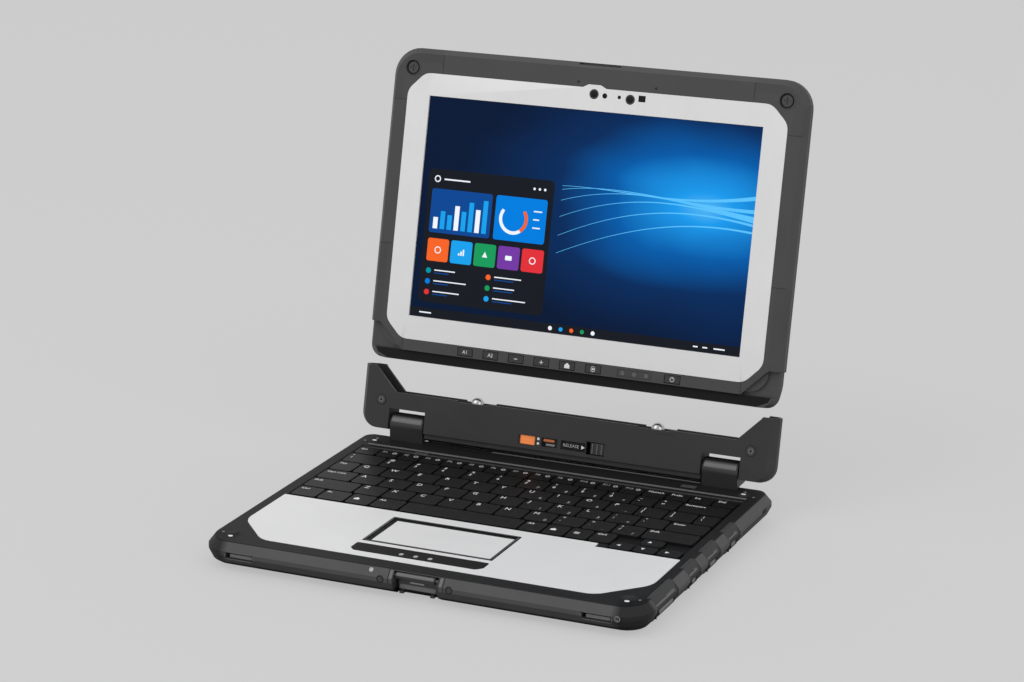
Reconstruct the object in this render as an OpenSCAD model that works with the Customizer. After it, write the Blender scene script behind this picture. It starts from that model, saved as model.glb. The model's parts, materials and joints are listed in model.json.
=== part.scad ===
// Rugged laptop computer: a tablet that lifts off a hinged docking carrier on a keyboard base.
// Millimetres. X to the right, Y to the back, Z up; the origin is on the desk under the middle of the base.
// The carrier and the tablet are drawn in the lid's own frame: its origin is the hinge axis, Y runs up the
// screen and Z points out of the glass.

/* [Base] */
// Height of the case without its feet
case_h = 14.8; // [14.4:0.2:20]
// Height of the rubber feet
foot_h = 2.2; // [1:0.2:6]
// Radius of the base's front corners seen from above
base_r = 18; // [12:1:26]
// Radius of the base's rear corners seen from above
base_rear_r = 10; // [9:1:20]
// How far the top edge lies inside the widest line
top_inset = 4; // [2:0.5:6]
// How far the bottom edge lies inside the widest line
bottom_inset = 6.5; // [4:0.5:8]
// How far the bottom edge is drawn in at the sides
bottom_side_inset = 4.8; // [1:0.1:5]
// Wall of the base shells
base_wall = 2.2; // [1.6:0.1:3]
// Height of the bottom case, up to the split line
split_h = 7.3; // [6.8:0.1:8]
// Height of the upright band above the split line
belt_h = 2.5; // [1:0.5:3.5]
// Height of the bumpers above the top face
bumper_rise = 0.9; // [0.4:0.1:1.1]
// How far the bumpers lie inside the widest line, across
bumper_inset_x = 14.6; // [14:0.5:26]
// How far the bumpers lie inside the widest line, front to back
bumper_inset_y = 16.5; // [16:0.5:24]
// Radius of a bumper
bumper_r = 3.6; // [2:0.2:4]
// Length of a rubber foot
foot_w = 24; // [10:1:30]
// How far the case screws lie inside the widest line, front to back
case_screw_inset = 19; // [18:0.5:22]
// Width of a strap slot in the front wall
strap_slot_w = 17; // [10:1:20]
// Height of a strap slot
strap_slot_h = 3.2; // [2:0.2:3.8]
// How far the strap slots lie inside the widest line
strap_inset = 27; // [26:1:76]

/* [Palm rest and touchpad] */
// Thickness of the palm rest plate
palm_t = 1.3; // [1:0.1:1.8]
// How far the palm rest stands above the top face
palm_rise = 0.3; // [0:0.1:0.6]
// How far the sides of the palm rest lie inside the widest line
palm_side = 10.2; // [9:0.2:14]
// How far the front edge of the palm rest lies inside the widest line
palm_front = 13.7; // [10:0.1:15]
// Length of the slanted front corners, across
palm_corner_x = 23.5; // [10:0.5:30]
// Length of the slanted front corners, front to back
palm_corner_y = 25; // [10:0.5:30]
// Middle of the touchpad, across
pad_x = -9.2; // [-20:0.2:20]
// Width of the touchpad with its border
pad_w = 80.8; // [70:0.2:100]
// Depth of the touchpad with its border, as a share of the palm rest's depth
pad_share = 0.565; // [0.45:0.005:0.58]
// Distance from the keyboard well to the touchpad border
pad_back_gap = 9; // [8.6:0.2:11]
// Width of the dark touchpad border
pad_border = 2.2; // [1:0.2:4]
// Gap between the touchpad and the button bar
pad_bar_gap = 4; // [3:0.2:5]
// Depth of the button bar, as a share of the palm rest's depth
bar_share = 0.167; // [0.12:0.001:0.18]
// Slanted front corners of the button bar
bar_corner = 3.6; // [1:0.2:5]
// Clearance round touchpad, bar and buttons
fit_gap = 0.3; // [0.3:0.05:0.5]

/* [Keyboard] */
// How far the sides of the keyboard well lie inside the widest line
well_side = 11; // [10:0.1:14]
// How far the rear edge of the keyboard well lies inside the widest line
well_back = 24.7; // [24:0.1:28]
// How much further forward the well reaches at the arrow keys
arrow_drop = 5.6; // [5:0.1:6.4]
// Width of the deeper part of the well
arrow_block_w = 44.6; // [44:0.1:46]
// Sideways pitch of the letter keys, as a share of the well's width
key_share = 0.073; // [0.071:0.0001:0.0732]
// Front to back pitch of the key rows, as a share of the base's depth
row_share = 0.0774; // [0.074:0.0001:0.078]
// Depth of the keys in the function row
fn_key_d = 12.6; // [10:0.2:12.8]
// Gap between neighbouring keys
key_gap = 1.3; // [1.1:0.1:2]
// Thickness of a key cap
key_t = 2.4; // [2:0.1:3]
// Height of the key tops above the top face
key_rise = 0.3; // [0:0.1:0.8]
// Corner radius of a key
key_r = 2.2; // [1:0.1:3]
// Travel of a key
key_travel = 1.8; // [1:0.1:2]

/* [Hinge] */
// Height of the hinge axis above the top face
hinge_rise = 8.7; // [8.4:0.1:12]
// How far the hinge axis lies inside the rear widest line
hinge_inset = 2.3; // [2:0.1:4]
// Opening of the lid from closed, degrees
open_angle = 104.17; // [95:0.5:140]
// How far the middles of the hinge blocks lie inside the widest line
block_inset = 32.7; // [32:0.1:40]
// Width of a hinge block
block_w = 22.6; // [16:0.2:24]
// Radius of a hinge block's barrel
block_r = 7; // [6:0.1:7.4]
// Radius of the hinge shafts
shaft_r = 3; // [2:0.1:4]
// Radial play of the shafts in their bores
shaft_play = 0.05; // [0.02:0.01:0.09]

/* [Carrier] */
// Thickness of the carrier and of the tablet
lid_t = 14.5; // [13.5:0.1:15]
// Height of the carrier above the hinge axis
carrier_h = 19.75; // [17:0.25:26]
// Height of the carrier below the hinge axis
carrier_drop = 4.2; // [3:0.1:4.2]
// Height of the side wings above the carrier
wing_h = 15.2; // [14:0.2:17]
// Depth of the channel that takes the tablet
channel_depth = 7; // [6.8:0.2:9]
// Thickness of the lips before and behind the channel
lip_t = 1.8; // [1.4:0.1:2.1]
// Distance of the guide pins from the middle
pin_x = 59.5; // [40:0.5:75]
// Radius of the guide pins
pin_r = 4.2; // [3:0.1:4.3]
// Height of the guide pins above the carrier
pin_rise = 3; // [2:0.1:3.4]
// Middle of the release slider
slider_x = 24.7; // [20:0.1:30]
// Distance of the latch hooks from the middle
hook_x = 74; // [68:0.5:78]
// Travel of the release slider
slider_travel = 2.5; // [1.5:0.1:2.8]

/* [Tablet] */
// Width of the tablet's frame beside the silver bezel
frame_side = 11.8; // [10.8:0.1:16]
// Height of the tablet's frame above the silver bezel
frame_top = 14.9; // [12:0.1:20]
// Depth of the tongue below the ledge
tongue_h = 6.5; // [5:0.1:6.7]
// Lift of the tablet above its docked place
lift = 26.8; // [5:0.1:80]
// Corner radius of the tablet
tablet_r = 17; // [12:1:20]
// How far the front edge lies inside the widest line
front_inset = 3.2; // [2:0.1:5]
// How far the rear edge lies inside the widest line
rear_inset = 3.4; // [2:0.1:5]
// Wall of the tablet's covers
tablet_wall = 1.6; // [1.2:0.1:2.2]
// Width of the visible picture
screen_w = 216.96; // [200:0.5:222]
// Height of the visible picture
screen_h = 135.6; // [120:0.5:140]
// Height of the picture's bottom edge above the ledge
screen_rise = 21.5; // [20:0.5:24]
// Width of the silver bezel beside the picture
bezel_side = 15.02; // [12:0.01:20]
// Height of the silver bezel above the picture
bezel_above = 13.7; // [12:0.1:18]
// Bottom edge of the bezel above the ledge
bezel_bottom = 7; // [6.8:0.1:8]
// Slanted corners of the bezel
bezel_corner = 11; // [6:0.5:14]
// Thickness of the bezel plate
bezel_t = 1.2; // [1:0.1:1.6]
// Width of a front button's pocket
button_w = 10.4; // [8:0.2:12]
// Height of a front button's pocket
button_h = 5.2; // [4:0.1:5.6]
// Distance between neighbouring front buttons
button_pitch = 17; // [16:0.1:18]
// Middle of the buttons above the ledge
button_rise = 3.3; // [3.2:0.05:3.7]
// Travel of a front button
button_travel = 0.6; // [0.3:0.1:0.8]

/* [Ports and latch] */
// Height of a port door
door_h = 12.6; // [11:0.1:12.8]
// Middle of the front latch, across
latch_x = 1; // [0:0.1:1.2]
// Width of the latch lever
latch_w = 23.8; // [18:0.2:24]
// Length of the latch lever below its pin
latch_len = 10.4; // [10:0.1:10.6]
// Radius of the latch pin
latch_pin_r = 1; // [0.8:0.1:1.3]

/* [Hidden] */
$fn = 48;
HULL_FN = 32;
SLICE = 0.01;
LOOP_ENDS = [-1, 1];

// The picture sets the tablet, and the tablet sets the base it closes on
bezel_half_w = screen_w / 2 + bezel_side;
bezel_top = screen_rise + screen_h + bezel_above;
tablet_w = 2 * (bezel_half_w + frame_side);
tablet_h = bezel_top + frame_top;
closed_inset = 0.25;
side_margin = 0.7;
base_w = tablet_w + 2 * side_margin;
base_d = carrier_h + tablet_h + hinge_inset + closed_inset;

// Places in the base seen from above
bumper_x = base_w / 2 - bumper_inset_x;
bumper_y = base_d / 2 - bumper_inset_y;
case_screw_y = base_d / 2 - case_screw_inset;
strap_slot_x = base_w / 2 - strap_inset;
hinge_y = base_d / 2 - hinge_inset;
block_x = base_w / 2 - block_inset;
well_half_w = base_w / 2 - well_side;
key_pitch = 2 * well_half_w * key_share;
row_pitch = base_d * row_share;
well_end = 4;
key_margin = 0.6;
well_back_y = base_d / 2 - well_back;
well_front_y = well_back_y - well_end - fn_key_d - 5 * row_pitch - key_margin;
arrow_front_y = well_front_y - arrow_drop;
arrow_left_x = well_half_w - arrow_block_w;
palm_half_w = base_w / 2 - palm_side;
palm_ease = 6;
palm_front_y = palm_front - base_d / 2;
palm_d = well_front_y - palm_front_y;
pad_d = palm_d * pad_share;
bar_d = palm_d * bar_share;
pad_back_y = well_front_y - pad_back_gap;

// Heights in the base
top_z = foot_h + case_h;
split_z = foot_h + split_h;
belt_z = split_z + belt_h;
floor_z = foot_h + base_wall;
plate_z = top_z - base_wall;
hinge_z = top_z + hinge_rise;
cavity_half_w = base_w / 2 - bottom_inset - base_wall;
cavity_half_d = base_d / 2 - bottom_inset - base_wall;
cavity_r = base_r - bottom_inset - base_wall;

// Keyboard levels
key_top_z = top_z + key_rise;
key_z = key_top_z - key_t;
tray_t = 1.2;
tray_z = key_z - key_travel - fit_gap - tray_t;
web_z = top_z - 1.3;
tray_rim = 1.8;

// Key rows: the depth of each row's middle, front row first
function row_y(i) = well_front_y + key_margin + row_pitch * (i + 0.5);
fn_row_y = well_front_y + key_margin + 5 * row_pitch + fn_key_d / 2;
key_d = row_pitch - key_gap;
key_left = 0.8 - well_half_w;
key_right = well_half_w - 0.8;
// Left ends of the first letter key in the number, upper, middle and lower rows
number_x = key_left + 25.3;
upper_x = number_x - key_pitch * 0.53;
middle_x = number_x - key_pitch * 0.13;
lower_x = number_x + key_pitch * 0.43;
narrow = 0.79 * key_pitch;
arrow_w = (key_right - arrow_left_x - 0.4) / 3;
arrow_row_d = (row_y(0) + row_pitch / 2 - arrow_front_y - key_margin) / 2;

// A key is [left end, right end, middle, depth]; its ends are on the pitch lines, half a gap outside the cap
function run(x0, n, pitch, y, d) = [for (i = [0:n - 1]) [x0 + i * pitch, x0 + (i + 1) * pitch, y, d]];
ROW_FUNCTION = run(key_left, 17, (key_right - key_left) / 17, fn_row_y, fn_key_d - key_gap);
ROW_NUMBER = concat(
    [[key_left, number_x, row_y(4), key_d]], run(number_x, 9, key_pitch, row_y(4), key_d),
    run(number_x + 9 * key_pitch, 2, narrow, row_y(4), key_d),
    [[number_x + 9 * key_pitch + 2 * narrow, key_right, row_y(4), key_d]]);
ROW_UPPER = concat(
    [[key_left, upper_x, row_y(3), key_d]], run(upper_x, 12, key_pitch, row_y(3), key_d),
    [[upper_x + 12 * key_pitch, key_right, row_y(3), key_d]]);
ROW_MIDDLE = concat(
    [[key_left, middle_x, row_y(2), key_d]], run(middle_x, 11, key_pitch, row_y(2), key_d),
    [[middle_x + 11 * key_pitch, key_right, row_y(2), key_d]]);
ROW_LOWER = concat(
    [[key_left, lower_x, row_y(1), key_d]], run(lower_x, 10, key_pitch, row_y(1), key_d),
    [[lower_x + 10 * key_pitch, key_right, row_y(1), key_d]]);
space_x = key_left + 3.9 * key_pitch;
space_right = arrow_left_x - 4 * narrow;
arrow_y = arrow_front_y + key_margin + arrow_row_d / 2;
ROW_CONTROL = concat(
    [[key_left, key_left + 0.95 * key_pitch, row_y(0), key_d]],
    [[key_left + 0.95 * key_pitch, key_left + 1.95 * key_pitch, row_y(0), key_d]],
    [[key_left + 1.95 * key_pitch, key_left + 2.85 * key_pitch, row_y(0), key_d]],
    [[key_left + 2.85 * key_pitch, space_x, row_y(0), key_d]],
    [[space_x, space_right, row_y(0), key_d]],
    run(space_right, 4, narrow, row_y(0), key_d),
    run(arrow_left_x + 0.4, 3, arrow_w, arrow_y, arrow_row_d - key_gap),
    [[arrow_left_x + 0.4 + arrow_w, arrow_left_x + 0.4 + 2 * arrow_w, arrow_y + arrow_row_d,
      arrow_row_d - key_gap]]);
ALL_ROWS = [ROW_CONTROL, ROW_LOWER, ROW_MIDDLE, ROW_UPPER, ROW_NUMBER, ROW_FUNCTION];

// Palm rest and touchpad levels
rib_rise = 1.1;
rib_inset = 3.9;
rib_w = 2;
palm_top_z = top_z + palm_rise;
palm_z = palm_top_z - palm_t;
pad_front_y = pad_back_y - pad_d;
bar_back_y = pad_front_y - pad_bar_gap;
bar_front_y = bar_back_y - bar_d;
bar_t = 2.4;
bar_top_z = palm_top_z + 0.1;
bar_rib_r = 1.7;

// Doors on the right side: front and rear end of each bay, as shares of the base's half depth
door_step_x = 2.8;
door_x = base_w / 2 - top_inset - door_step_x;
door_z = foot_h + 1.6;
pivot_r = 0.9;
door_inset = 0.5;
door_lean = 2.8;
DOOR_SHARES = [[-0.803, -0.505], [-0.337, -0.183], [-0.072, 0.115], [0.25, 0.418]];
DOORS = base_d / 2 * DOOR_SHARES;
// Width and height of the connector behind each door
PORTS = [[13.1, 5.2], [13.1, 5.2], [15, 5.2], [9, 5.2]];
board_z = floor_z + 0.4;
board_t = 1.2;
board_low_x = cavity_half_w - 83.3;
board_high_x = cavity_half_w - base_wall - 1;
board_low_y = 19.3 - cavity_half_d;
board_high_y = cavity_half_d - 25.3;
port_z = board_z + board_t;
port_len = 16;
SCREW_XS = [18 - base_w / 2, -40, 38, base_w / 2 - 18];
foot_x = cavity_half_w - 36;
foot_y = cavity_half_d - 12;

// Front latch levels
latch_z = top_z - 3;
latch_y = 3 - base_d / 2;
latch_bay_w = latch_w + 2 * fit_gap + 3;
latch_bay_d = 8.6;
latch_ear = 1;
latch_roof = 0.7;
lever_t = 1.6;
lever_back_y = 3.3;
lever_step = 1.9;
lip_out = 1.9;
latch_foot_x = latch_w / 2 - 2.5;
latch_foot_w = 2.6;

// Lid frame: front and rear faces, and the heights above the hinge axis
front_w = lid_t / 2;
belt_w = front_w - 4.3;
belt_back_w = 1.3;
carrier_belt_w = 2;
barrel_r = hinge_rise - 0.5;
barrel_front_w = 5;
lid_split_w = 1;
ledge_y = carrier_h + lift;
channel_y = carrier_h - channel_depth;
channel_half_t = front_w - lip_t;
tongue_half_t = channel_half_t - fit_gap;
carrier_side_inset = 4;
carrier_r = 10;
wing_top = carrier_h + wing_h;
wing_inner_x = base_w / 2 - 9;
wing_slope = wing_h - 1.2;
tongue_inset = 1;
tongue_chamfer = 3.6;
tongue_belt_w = 2.2;
tongue_r = 8;
tongue_back_r = 14;
tongue_top = 22;
notch_half_w = block_w / 2 + 0.95;
notch_y = block_r + 2.5;
socket_w = 44;
contact_h = 2.6;
contact_t = 5;
socket_depth = 5.8;
slider_w = 8.8;
slider_y = 2.3;
indicator_x = -21.3;
bar_y = channel_y - 7.4;
hook_nose = 2.2;
hook_t = 1.5;
hook_h = 4.3;
catch_t = 1.6;
bezel_w = front_w - bezel_t;
bezel_ease = 4;
glass_t = 1;
glass_w = bezel_w - glass_t;
panel_t = 2.4;
panel_w = glass_w - panel_t;
BUTTON_XS = button_pitch * [-4, -3, -2, -1, 0, 1, 4];
window_x = 43.6;
window_w = 22;
button_back_w = 3.4;
pocket_w = button_back_w - button_travel - fit_gap;
CORNER_SCREW = [base_w / 2 - 14.6, tablet_h - 12.3];
carrier_screw_x = base_w / 2 - 14.5;
inner_board_half_w = base_w / 2 - 40;
inner_board_low = tablet_h - 87.7;
inner_board_high = tablet_h - 33.7;
carrier_screw_y = 14.2;
guard_x = base_w / 2 - 25;
guard_high = screen_rise + screen_h - 3.6;
guard_low = screen_rise + screen_h * 0.317;
latch_notch_d = 1.6;

// ---- Shapes used more than once ----

// Points that cut a corner b between a and c with a soft curve, beginning d before the corner
function unit(v) = v / norm(v);
function eased(a, b, c, d) = d == 0 ? [b] :
    [for (t = [0:0.25:1]) b + pow(1 - t, 2) * d * unit(a - b) + t * t * d * unit(c - b)];
function eased_outline(p, d) =
    let (n = len(p)) [for (i = [0:n - 1]) each eased(p[(i + n - 1) % n], p[i], p[(i + 1) % n], d[i])];

// Rectangle with round corners, centred, exact arcs
module round_rect(w, d, r) {
    square([w - 2 * r, d], center = true);
    square([w, d - 2 * r], center = true);
    for (x = LOOP_ENDS, y = LOOP_ENDS)
        translate([x * (w / 2 - r), y * (d / 2 - r)]) circle(r);
}

// Block with round upright corners
module round_block(w, d, h, r) {
    linear_extrude(h) round_rect(w, d, r);
}

// Box from its lowest corner to its highest corner
module span(low, high) {
    translate(low) cube(high - low);
}

// Corners of a thin slab of the base outline, drawn in at its sides and its ends; a hull fills it
module base_slice(z, side, ends) {
    translate([0, 0, z]) linear_extrude(SLICE)
        for (x = LOOP_ENDS, y = LOOP_ENDS)
            let (r = (y < 0 ? base_r : base_rear_r) - ends)
            translate([x * (base_w / 2 - side - r), y * (base_d / 2 - ends - r)]) circle(r, $fn = HULL_FN);
}

// Puts its children in the lid's frame
module lid() {
    translate([0, hinge_y, hinge_z]) rotate([180 - open_angle, 0, 0]) children();
}

// Puts its children in the tablet's frame, whose Y starts at the ledge
module tablet() {
    lid() translate([0, ledge_y, 0]) children();
}

// Everything in front of a plane of the lid's frame
module in_front_of(z) {
    translate([-tablet_w, -tablet_w, z]) cube([2 * tablet_w, 3 * tablet_w, 2 * lid_t]);
}

// Cylinder along X, centred
module x_rod(r, len) {
    rotate([0, 90, 0]) cylinder(r = r, h = len, center = true);
}

// ---- Base ----

module latch_bay() {
    translate([latch_x, -base_d / 2, 0])
        span([-latch_bay_w / 2, -1, foot_h - 1], [latch_bay_w / 2, latch_bay_d, top_z - latch_roof]);
}

module strap_slots() {
    for (x = LOOP_ENDS)
        translate([x * strap_slot_x, -base_d / 2 + 4, split_z + strap_slot_h / 2 - 1])
            cube([strap_slot_w, 14, strap_slot_h], center = true);
}

module door_bays() {
    for (d = DOORS)
        span([door_x, d[0] - fit_gap, door_z - fit_gap],
             [base_w / 2 + 1, d[1] + fit_gap, door_z + door_h + 5]);
}

module port_holes() {
    for (i = [0:3])
        let (y = (DOORS[i][0] + DOORS[i][1]) / 2)
        span([cavity_half_w - 4, y - PORTS[i][0] / 2, port_z],
             [door_x + 1, y + PORTS[i][0] / 2, port_z + PORTS[i][1]]);
}

module case_screw_places() {
    for (x = SCREW_XS, y = LOOP_ENDS) translate([x, y * case_screw_y, 0]) children();
}

module bottom_case() {
    color([0.13, 0.13, 0.135])
    difference() {
        hull() {
            base_slice(foot_h, bottom_side_inset, bottom_inset);
            base_slice(foot_h + 2.6, bottom_side_inset * 0.5, bottom_inset * 0.25);
            base_slice(split_z - SLICE, 0, 0);
        }
        difference() {
            translate([0, 0, floor_z])
                round_block(2 * cavity_half_w, 2 * cavity_half_d, case_h, cavity_r);
            case_screw_places() translate([0, 0, foot_h]) cylinder(r = 3.4, h = split_z - foot_h);
            for (x = [board_low_x + 8, board_high_x - 12], y = [board_low_y + 8, board_high_y - 10])
                translate([x, y, foot_h]) cylinder(r = 2.6, h = board_z - foot_h);
            translate([latch_x, latch_bay_d / 2 - base_d / 2 + 2, foot_h])
                linear_extrude(split_h)
                    square([latch_bay_w + 2 * base_wall, latch_bay_d + 2 * base_wall], center = true);
            port_wall(foot_h, split_z);
            for (x = LOOP_ENDS) strap_box(x, foot_h, split_z);
        }
        case_screw_places() translate([0, 0, foot_h - 1]) {
            cylinder(r = 1.3, h = split_h + 2);
            cylinder(r = 2.8, h = 2.4);
        }
        latch_bay();
        strap_slots();
        door_bays();
        port_holes();
    }
}

// Inner wall behind the port doors
module port_wall(z0, z1) {
    span([cavity_half_w - base_wall, DOORS[0][0] - 3, z0], [door_x + 1, DOORS[3][1] + 3, z1]);
}

// Closed pocket behind a strap slot
module strap_box(x, z0, z1) {
    translate([x * strap_slot_x, -base_d / 2 + 9, 0])
        span([-strap_slot_w / 2 - base_wall, -3, z0], [strap_slot_w / 2 + base_wall, 5, z1]);
}

module palm_outline(grow) {
    back = well_front_y - 0.9;
    arrow_back = arrow_front_y - 0.6;
    offset_x = palm_half_w + grow;
    polygon(eased_outline([
        [-offset_x, back + grow], [arrow_left_x - 6 + grow, back + grow],
        [arrow_left_x - 6 + grow, arrow_back + grow], [offset_x, arrow_back + grow],
        [offset_x, palm_front_y + palm_corner_y], [palm_half_w - palm_corner_x, palm_front_y - grow],
        [palm_corner_x - palm_half_w, palm_front_y - grow], [-offset_x, palm_front_y + palm_corner_y]],
        [0, 0, 0, 0, palm_ease, palm_ease, palm_ease, palm_ease]));
}

module bar_outline(shrink) {
    w = pad_w / 2 + 0.6 - shrink;
    polygon(eased_outline([
        [-w, bar_back_y - shrink], [w, bar_back_y - shrink], [w, bar_front_y + bar_corner],
        [w - bar_corner, bar_front_y + shrink], [bar_corner - w, bar_front_y + shrink],
        [-w, bar_front_y + bar_corner]], bar_corner / 3 * [0.8, 0.8, 1, 1, 1, 1]));
}

// Outline of the keyboard well, grown sideways and front to back
module well_outline(side, ends) {
    translate([-well_half_w - side, well_front_y - ends])
        square([2 * (well_half_w + side), well_back_y - well_front_y + 2 * ends]);
    translate([arrow_left_x - 0.2 - side, arrow_front_y - ends])
        square([well_half_w - arrow_left_x + 0.2 + 2 * side, arrow_drop + key_d]);
}

module top_cover() {
    color([0.17, 0.17, 0.175])
    difference() {
        union() {
            hull() {
                base_slice(split_z, 0, 0);
                base_slice(belt_z, 0, 0);
                base_slice(top_z - SLICE, top_inset, top_inset);
            }
            // Rib before the carrier's round lower edge
            span([block_w / 2 + 1 - block_x, hinge_y - rib_inset - rib_w, top_z - 1],
                 [block_x - block_w / 2 - 1, hinge_y - rib_inset, top_z + rib_rise]);
        }
        difference() {
            translate([0, 0, split_z - 1])
                round_block(2 * cavity_half_w + 4, 2 * cavity_half_d + 4, plate_z - split_z + 1,
                            cavity_r + 2);
            case_screw_places() cylinder(r = 3.4, h = top_z);
            translate([latch_x, latch_bay_d / 2 - base_d / 2 + 2, 0])
                linear_extrude(top_z)
                    square([latch_bay_w + 2 * base_wall, latch_bay_d + 2 * base_wall], center = true);
            port_wall(split_z - 1, top_z);
            for (x = LOOP_ENDS) strap_box(x, split_z - 1, top_z);
        }
        translate([0, 0, palm_z]) linear_extrude(4) palm_outline(0.15);
        translate([pad_x, (pad_back_y + pad_front_y) / 2, plate_z - 1])
            linear_extrude(6) square([pad_w - 2, pad_d - 2], center = true);
        translate([pad_x, 0, plate_z - 1]) linear_extrude(6) bar_outline(0);
        translate([0, 0, plate_z - 1]) linear_extrude(6) well_outline(0, 0);
        case_screw_places() translate([0, 0, split_z - 1]) cylinder(r = 1.3, h = plate_z - split_z);
        latch_bay();
        latch_pin_hole(shaft_play);
        strap_slots();
        door_bays();
        port_holes();
        for (x = LOOP_ENDS, y = LOOP_ENDS)
            translate([x * bumper_x, y * bumper_y, top_z - 1]) cylinder(r = bumper_r, h = 3);
        translate([0, hinge_y, top_z])
            for (x = LOOP_ENDS) translate([x * block_x, 0, 0])
                cube([block_w, 2 * block_r, 2], center = true);
    }
}

module palm_rest() {
    color([0.82, 0.82, 0.83])
    difference() {
        translate([0, 0, palm_z]) linear_extrude(palm_t) palm_outline(0);
        translate([pad_x, (pad_back_y + pad_front_y) / 2, palm_z - 1])
            linear_extrude(4) square([pad_w + 0.2, pad_d + 0.2], center = true);
        translate([pad_x, 0, palm_z - 1]) linear_extrude(4) bar_outline(0);
    }
}

module touchpad_frame() {
    color([0.1, 0.1, 0.11])
    translate([pad_x, (pad_back_y + pad_front_y) / 2, 0])
    difference() {
        translate([0, 0, palm_z]) round_block(pad_w, pad_d, palm_t, 1.5);
        translate([0, 0, palm_z - 1]) linear_extrude(4)
            square([pad_w - 2 * pad_border, pad_d - 2 * pad_border], center = true);
    }
    // Carrier plate that holds the pad from below
    color([0.1, 0.1, 0.11])
    translate([pad_x, (pad_back_y + pad_front_y) / 2, plate_z - 0.8])
        linear_extrude(0.8) square([pad_w + 6, pad_d + 1.5], center = true);
}

module touchpad() {
    color([0.74, 0.745, 0.75])
    translate([pad_x, (pad_back_y + pad_front_y) / 2, plate_z])
        round_block(pad_w - 2 * pad_border - 0.2, pad_d - 2 * pad_border - 0.2,
                    palm_top_z - 0.4 - plate_z, 1);
}

module button_bar() {
    color([0.14, 0.14, 0.15])
    translate([pad_x, 0, bar_top_z - bar_t]) {
        linear_extrude(bar_t) bar_outline(fit_gap);
        // Rocking rib under the middle of the bar
        intersection() {
            translate([0, bar_front_y + 1, bar_t / 2]) rotate([-90, 0, 0])
                cylinder(r = bar_rib_r, h = bar_d - 2);
            span([-bar_rib_r, bar_front_y, -bar_rib_r], [bar_rib_r, bar_back_y, bar_t / 2]);
        }
    }
}

module key_caps(keys) {
    for (k = keys)
        translate([(k[0] + k[1]) / 2, k[2], key_z])
            round_block(k[1] - k[0] - key_gap, k[3], key_t, key_r, $fn = 24);
}

module keyboard_tray() {
    color([0.06, 0.06, 0.065])
    difference() {
        union() {
            translate([0, 0, tray_z]) linear_extrude(plate_z - tray_z) well_outline(0, tray_rim);
            translate([0, 0, plate_z - 0.5]) linear_extrude(web_z - plate_z + 0.5) well_outline(-0.1, -0.1);
        }
        for (row = ALL_ROWS, k = row)
            translate([(k[0] + k[1]) / 2, k[2], tray_z + tray_t])
                linear_extrude(case_h)
                    square([k[1] - k[0] - key_gap + 2 * fit_gap, k[3] + 2 * fit_gap], center = true);
    }
}

module keys_control_row() { color([0.07, 0.07, 0.075]) key_caps(ROW_CONTROL); }
module keys_lower_row() { color([0.07, 0.07, 0.075]) key_caps(ROW_LOWER); }
module keys_middle_row() { color([0.07, 0.07, 0.075]) key_caps(ROW_MIDDLE); }
module keys_upper_row() { color([0.07, 0.07, 0.075]) key_caps(ROW_UPPER); }
module keys_number_row() { color([0.07, 0.07, 0.075]) key_caps(ROW_NUMBER); }
module keys_function_row() { color([0.07, 0.07, 0.075]) key_caps(ROW_FUNCTION); }

module hinge_blocks() {
    color([0.1, 0.1, 0.1])
    for (x = LOOP_ENDS) translate([x * block_x, hinge_y, 0])
        difference() {
            union() {
                translate([0, 0, hinge_z]) x_rod(block_r, block_w);
                span([-block_w / 2, -block_r, top_z - 1], [block_w / 2, block_r - 0.01, hinge_z]);
            }
            translate([0, 0, hinge_z]) x_rod(shaft_r + shaft_play, block_w + 2);
            span([-block_w, base_d / 2 - top_inset - hinge_y - 0.4, 0], [block_w, block_r + 1, top_z + 0.6]);
        }
}

module corner_bumpers() {
    color([0.2, 0.2, 0.2])
    for (x = LOOP_ENDS, y = LOOP_ENDS)
        translate([x * bumper_x, y * bumper_y, top_z - 1]) {
            cylinder(r = bumper_r - 0.05, h = 1.2);
            translate([0, 0, 1.2]) cylinder(r1 = bumper_r - 0.4, r2 = bumper_r - 1.2, h = bumper_rise - 0.2);
        }
}

module rubber_feet() {
    color([0.05, 0.05, 0.05])
    for (x = LOOP_ENDS, y = LOOP_ENDS)
        translate([x * foot_x, y * foot_y, 0]) round_block(foot_w, foot_w / 2.4, foot_h, 3);
}

module base_board() {
    color([0.05, 0.25, 0.14])
    span([board_low_x, board_low_y, board_z], [board_high_x, board_high_y, board_z + board_t]);
}

module base_ports() {
    color([0.6, 0.6, 0.62])
    for (i = [0:3])
        let (y = (DOORS[i][0] + DOORS[i][1]) / 2, w = PORTS[i][0] - 0.2, h = PORTS[i][1] - 0.2)
        translate([door_x - port_len, y, port_z]) {
            difference() {
                span([0, -w / 2, 0], [port_len, w / 2, h]);
                span([3, -w / 2 + 0.5, 0.5], [port_len + 1, w / 2 - 0.5, h - 0.5]);
            }
            span([2.9, -w / 2 + 2, h / 2 - 0.9], [port_len - 1, w / 2 - 2, h / 2 + 0.9]);
        }
}

module base_screws() {
    color([0.55, 0.55, 0.57])
    case_screw_places() translate([0, 0, foot_h + 0.2]) difference() {
        union() {
            cylinder(r = 2.6, h = 1.2);
            cylinder(r = 1.2, h = split_h + 2);
        }
        translate([0, 0, -1]) {
            cube([3, 0.6, 3.2], center = true);
            cube([0.6, 3, 3.2], center = true);
        }
    }
}

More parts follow.
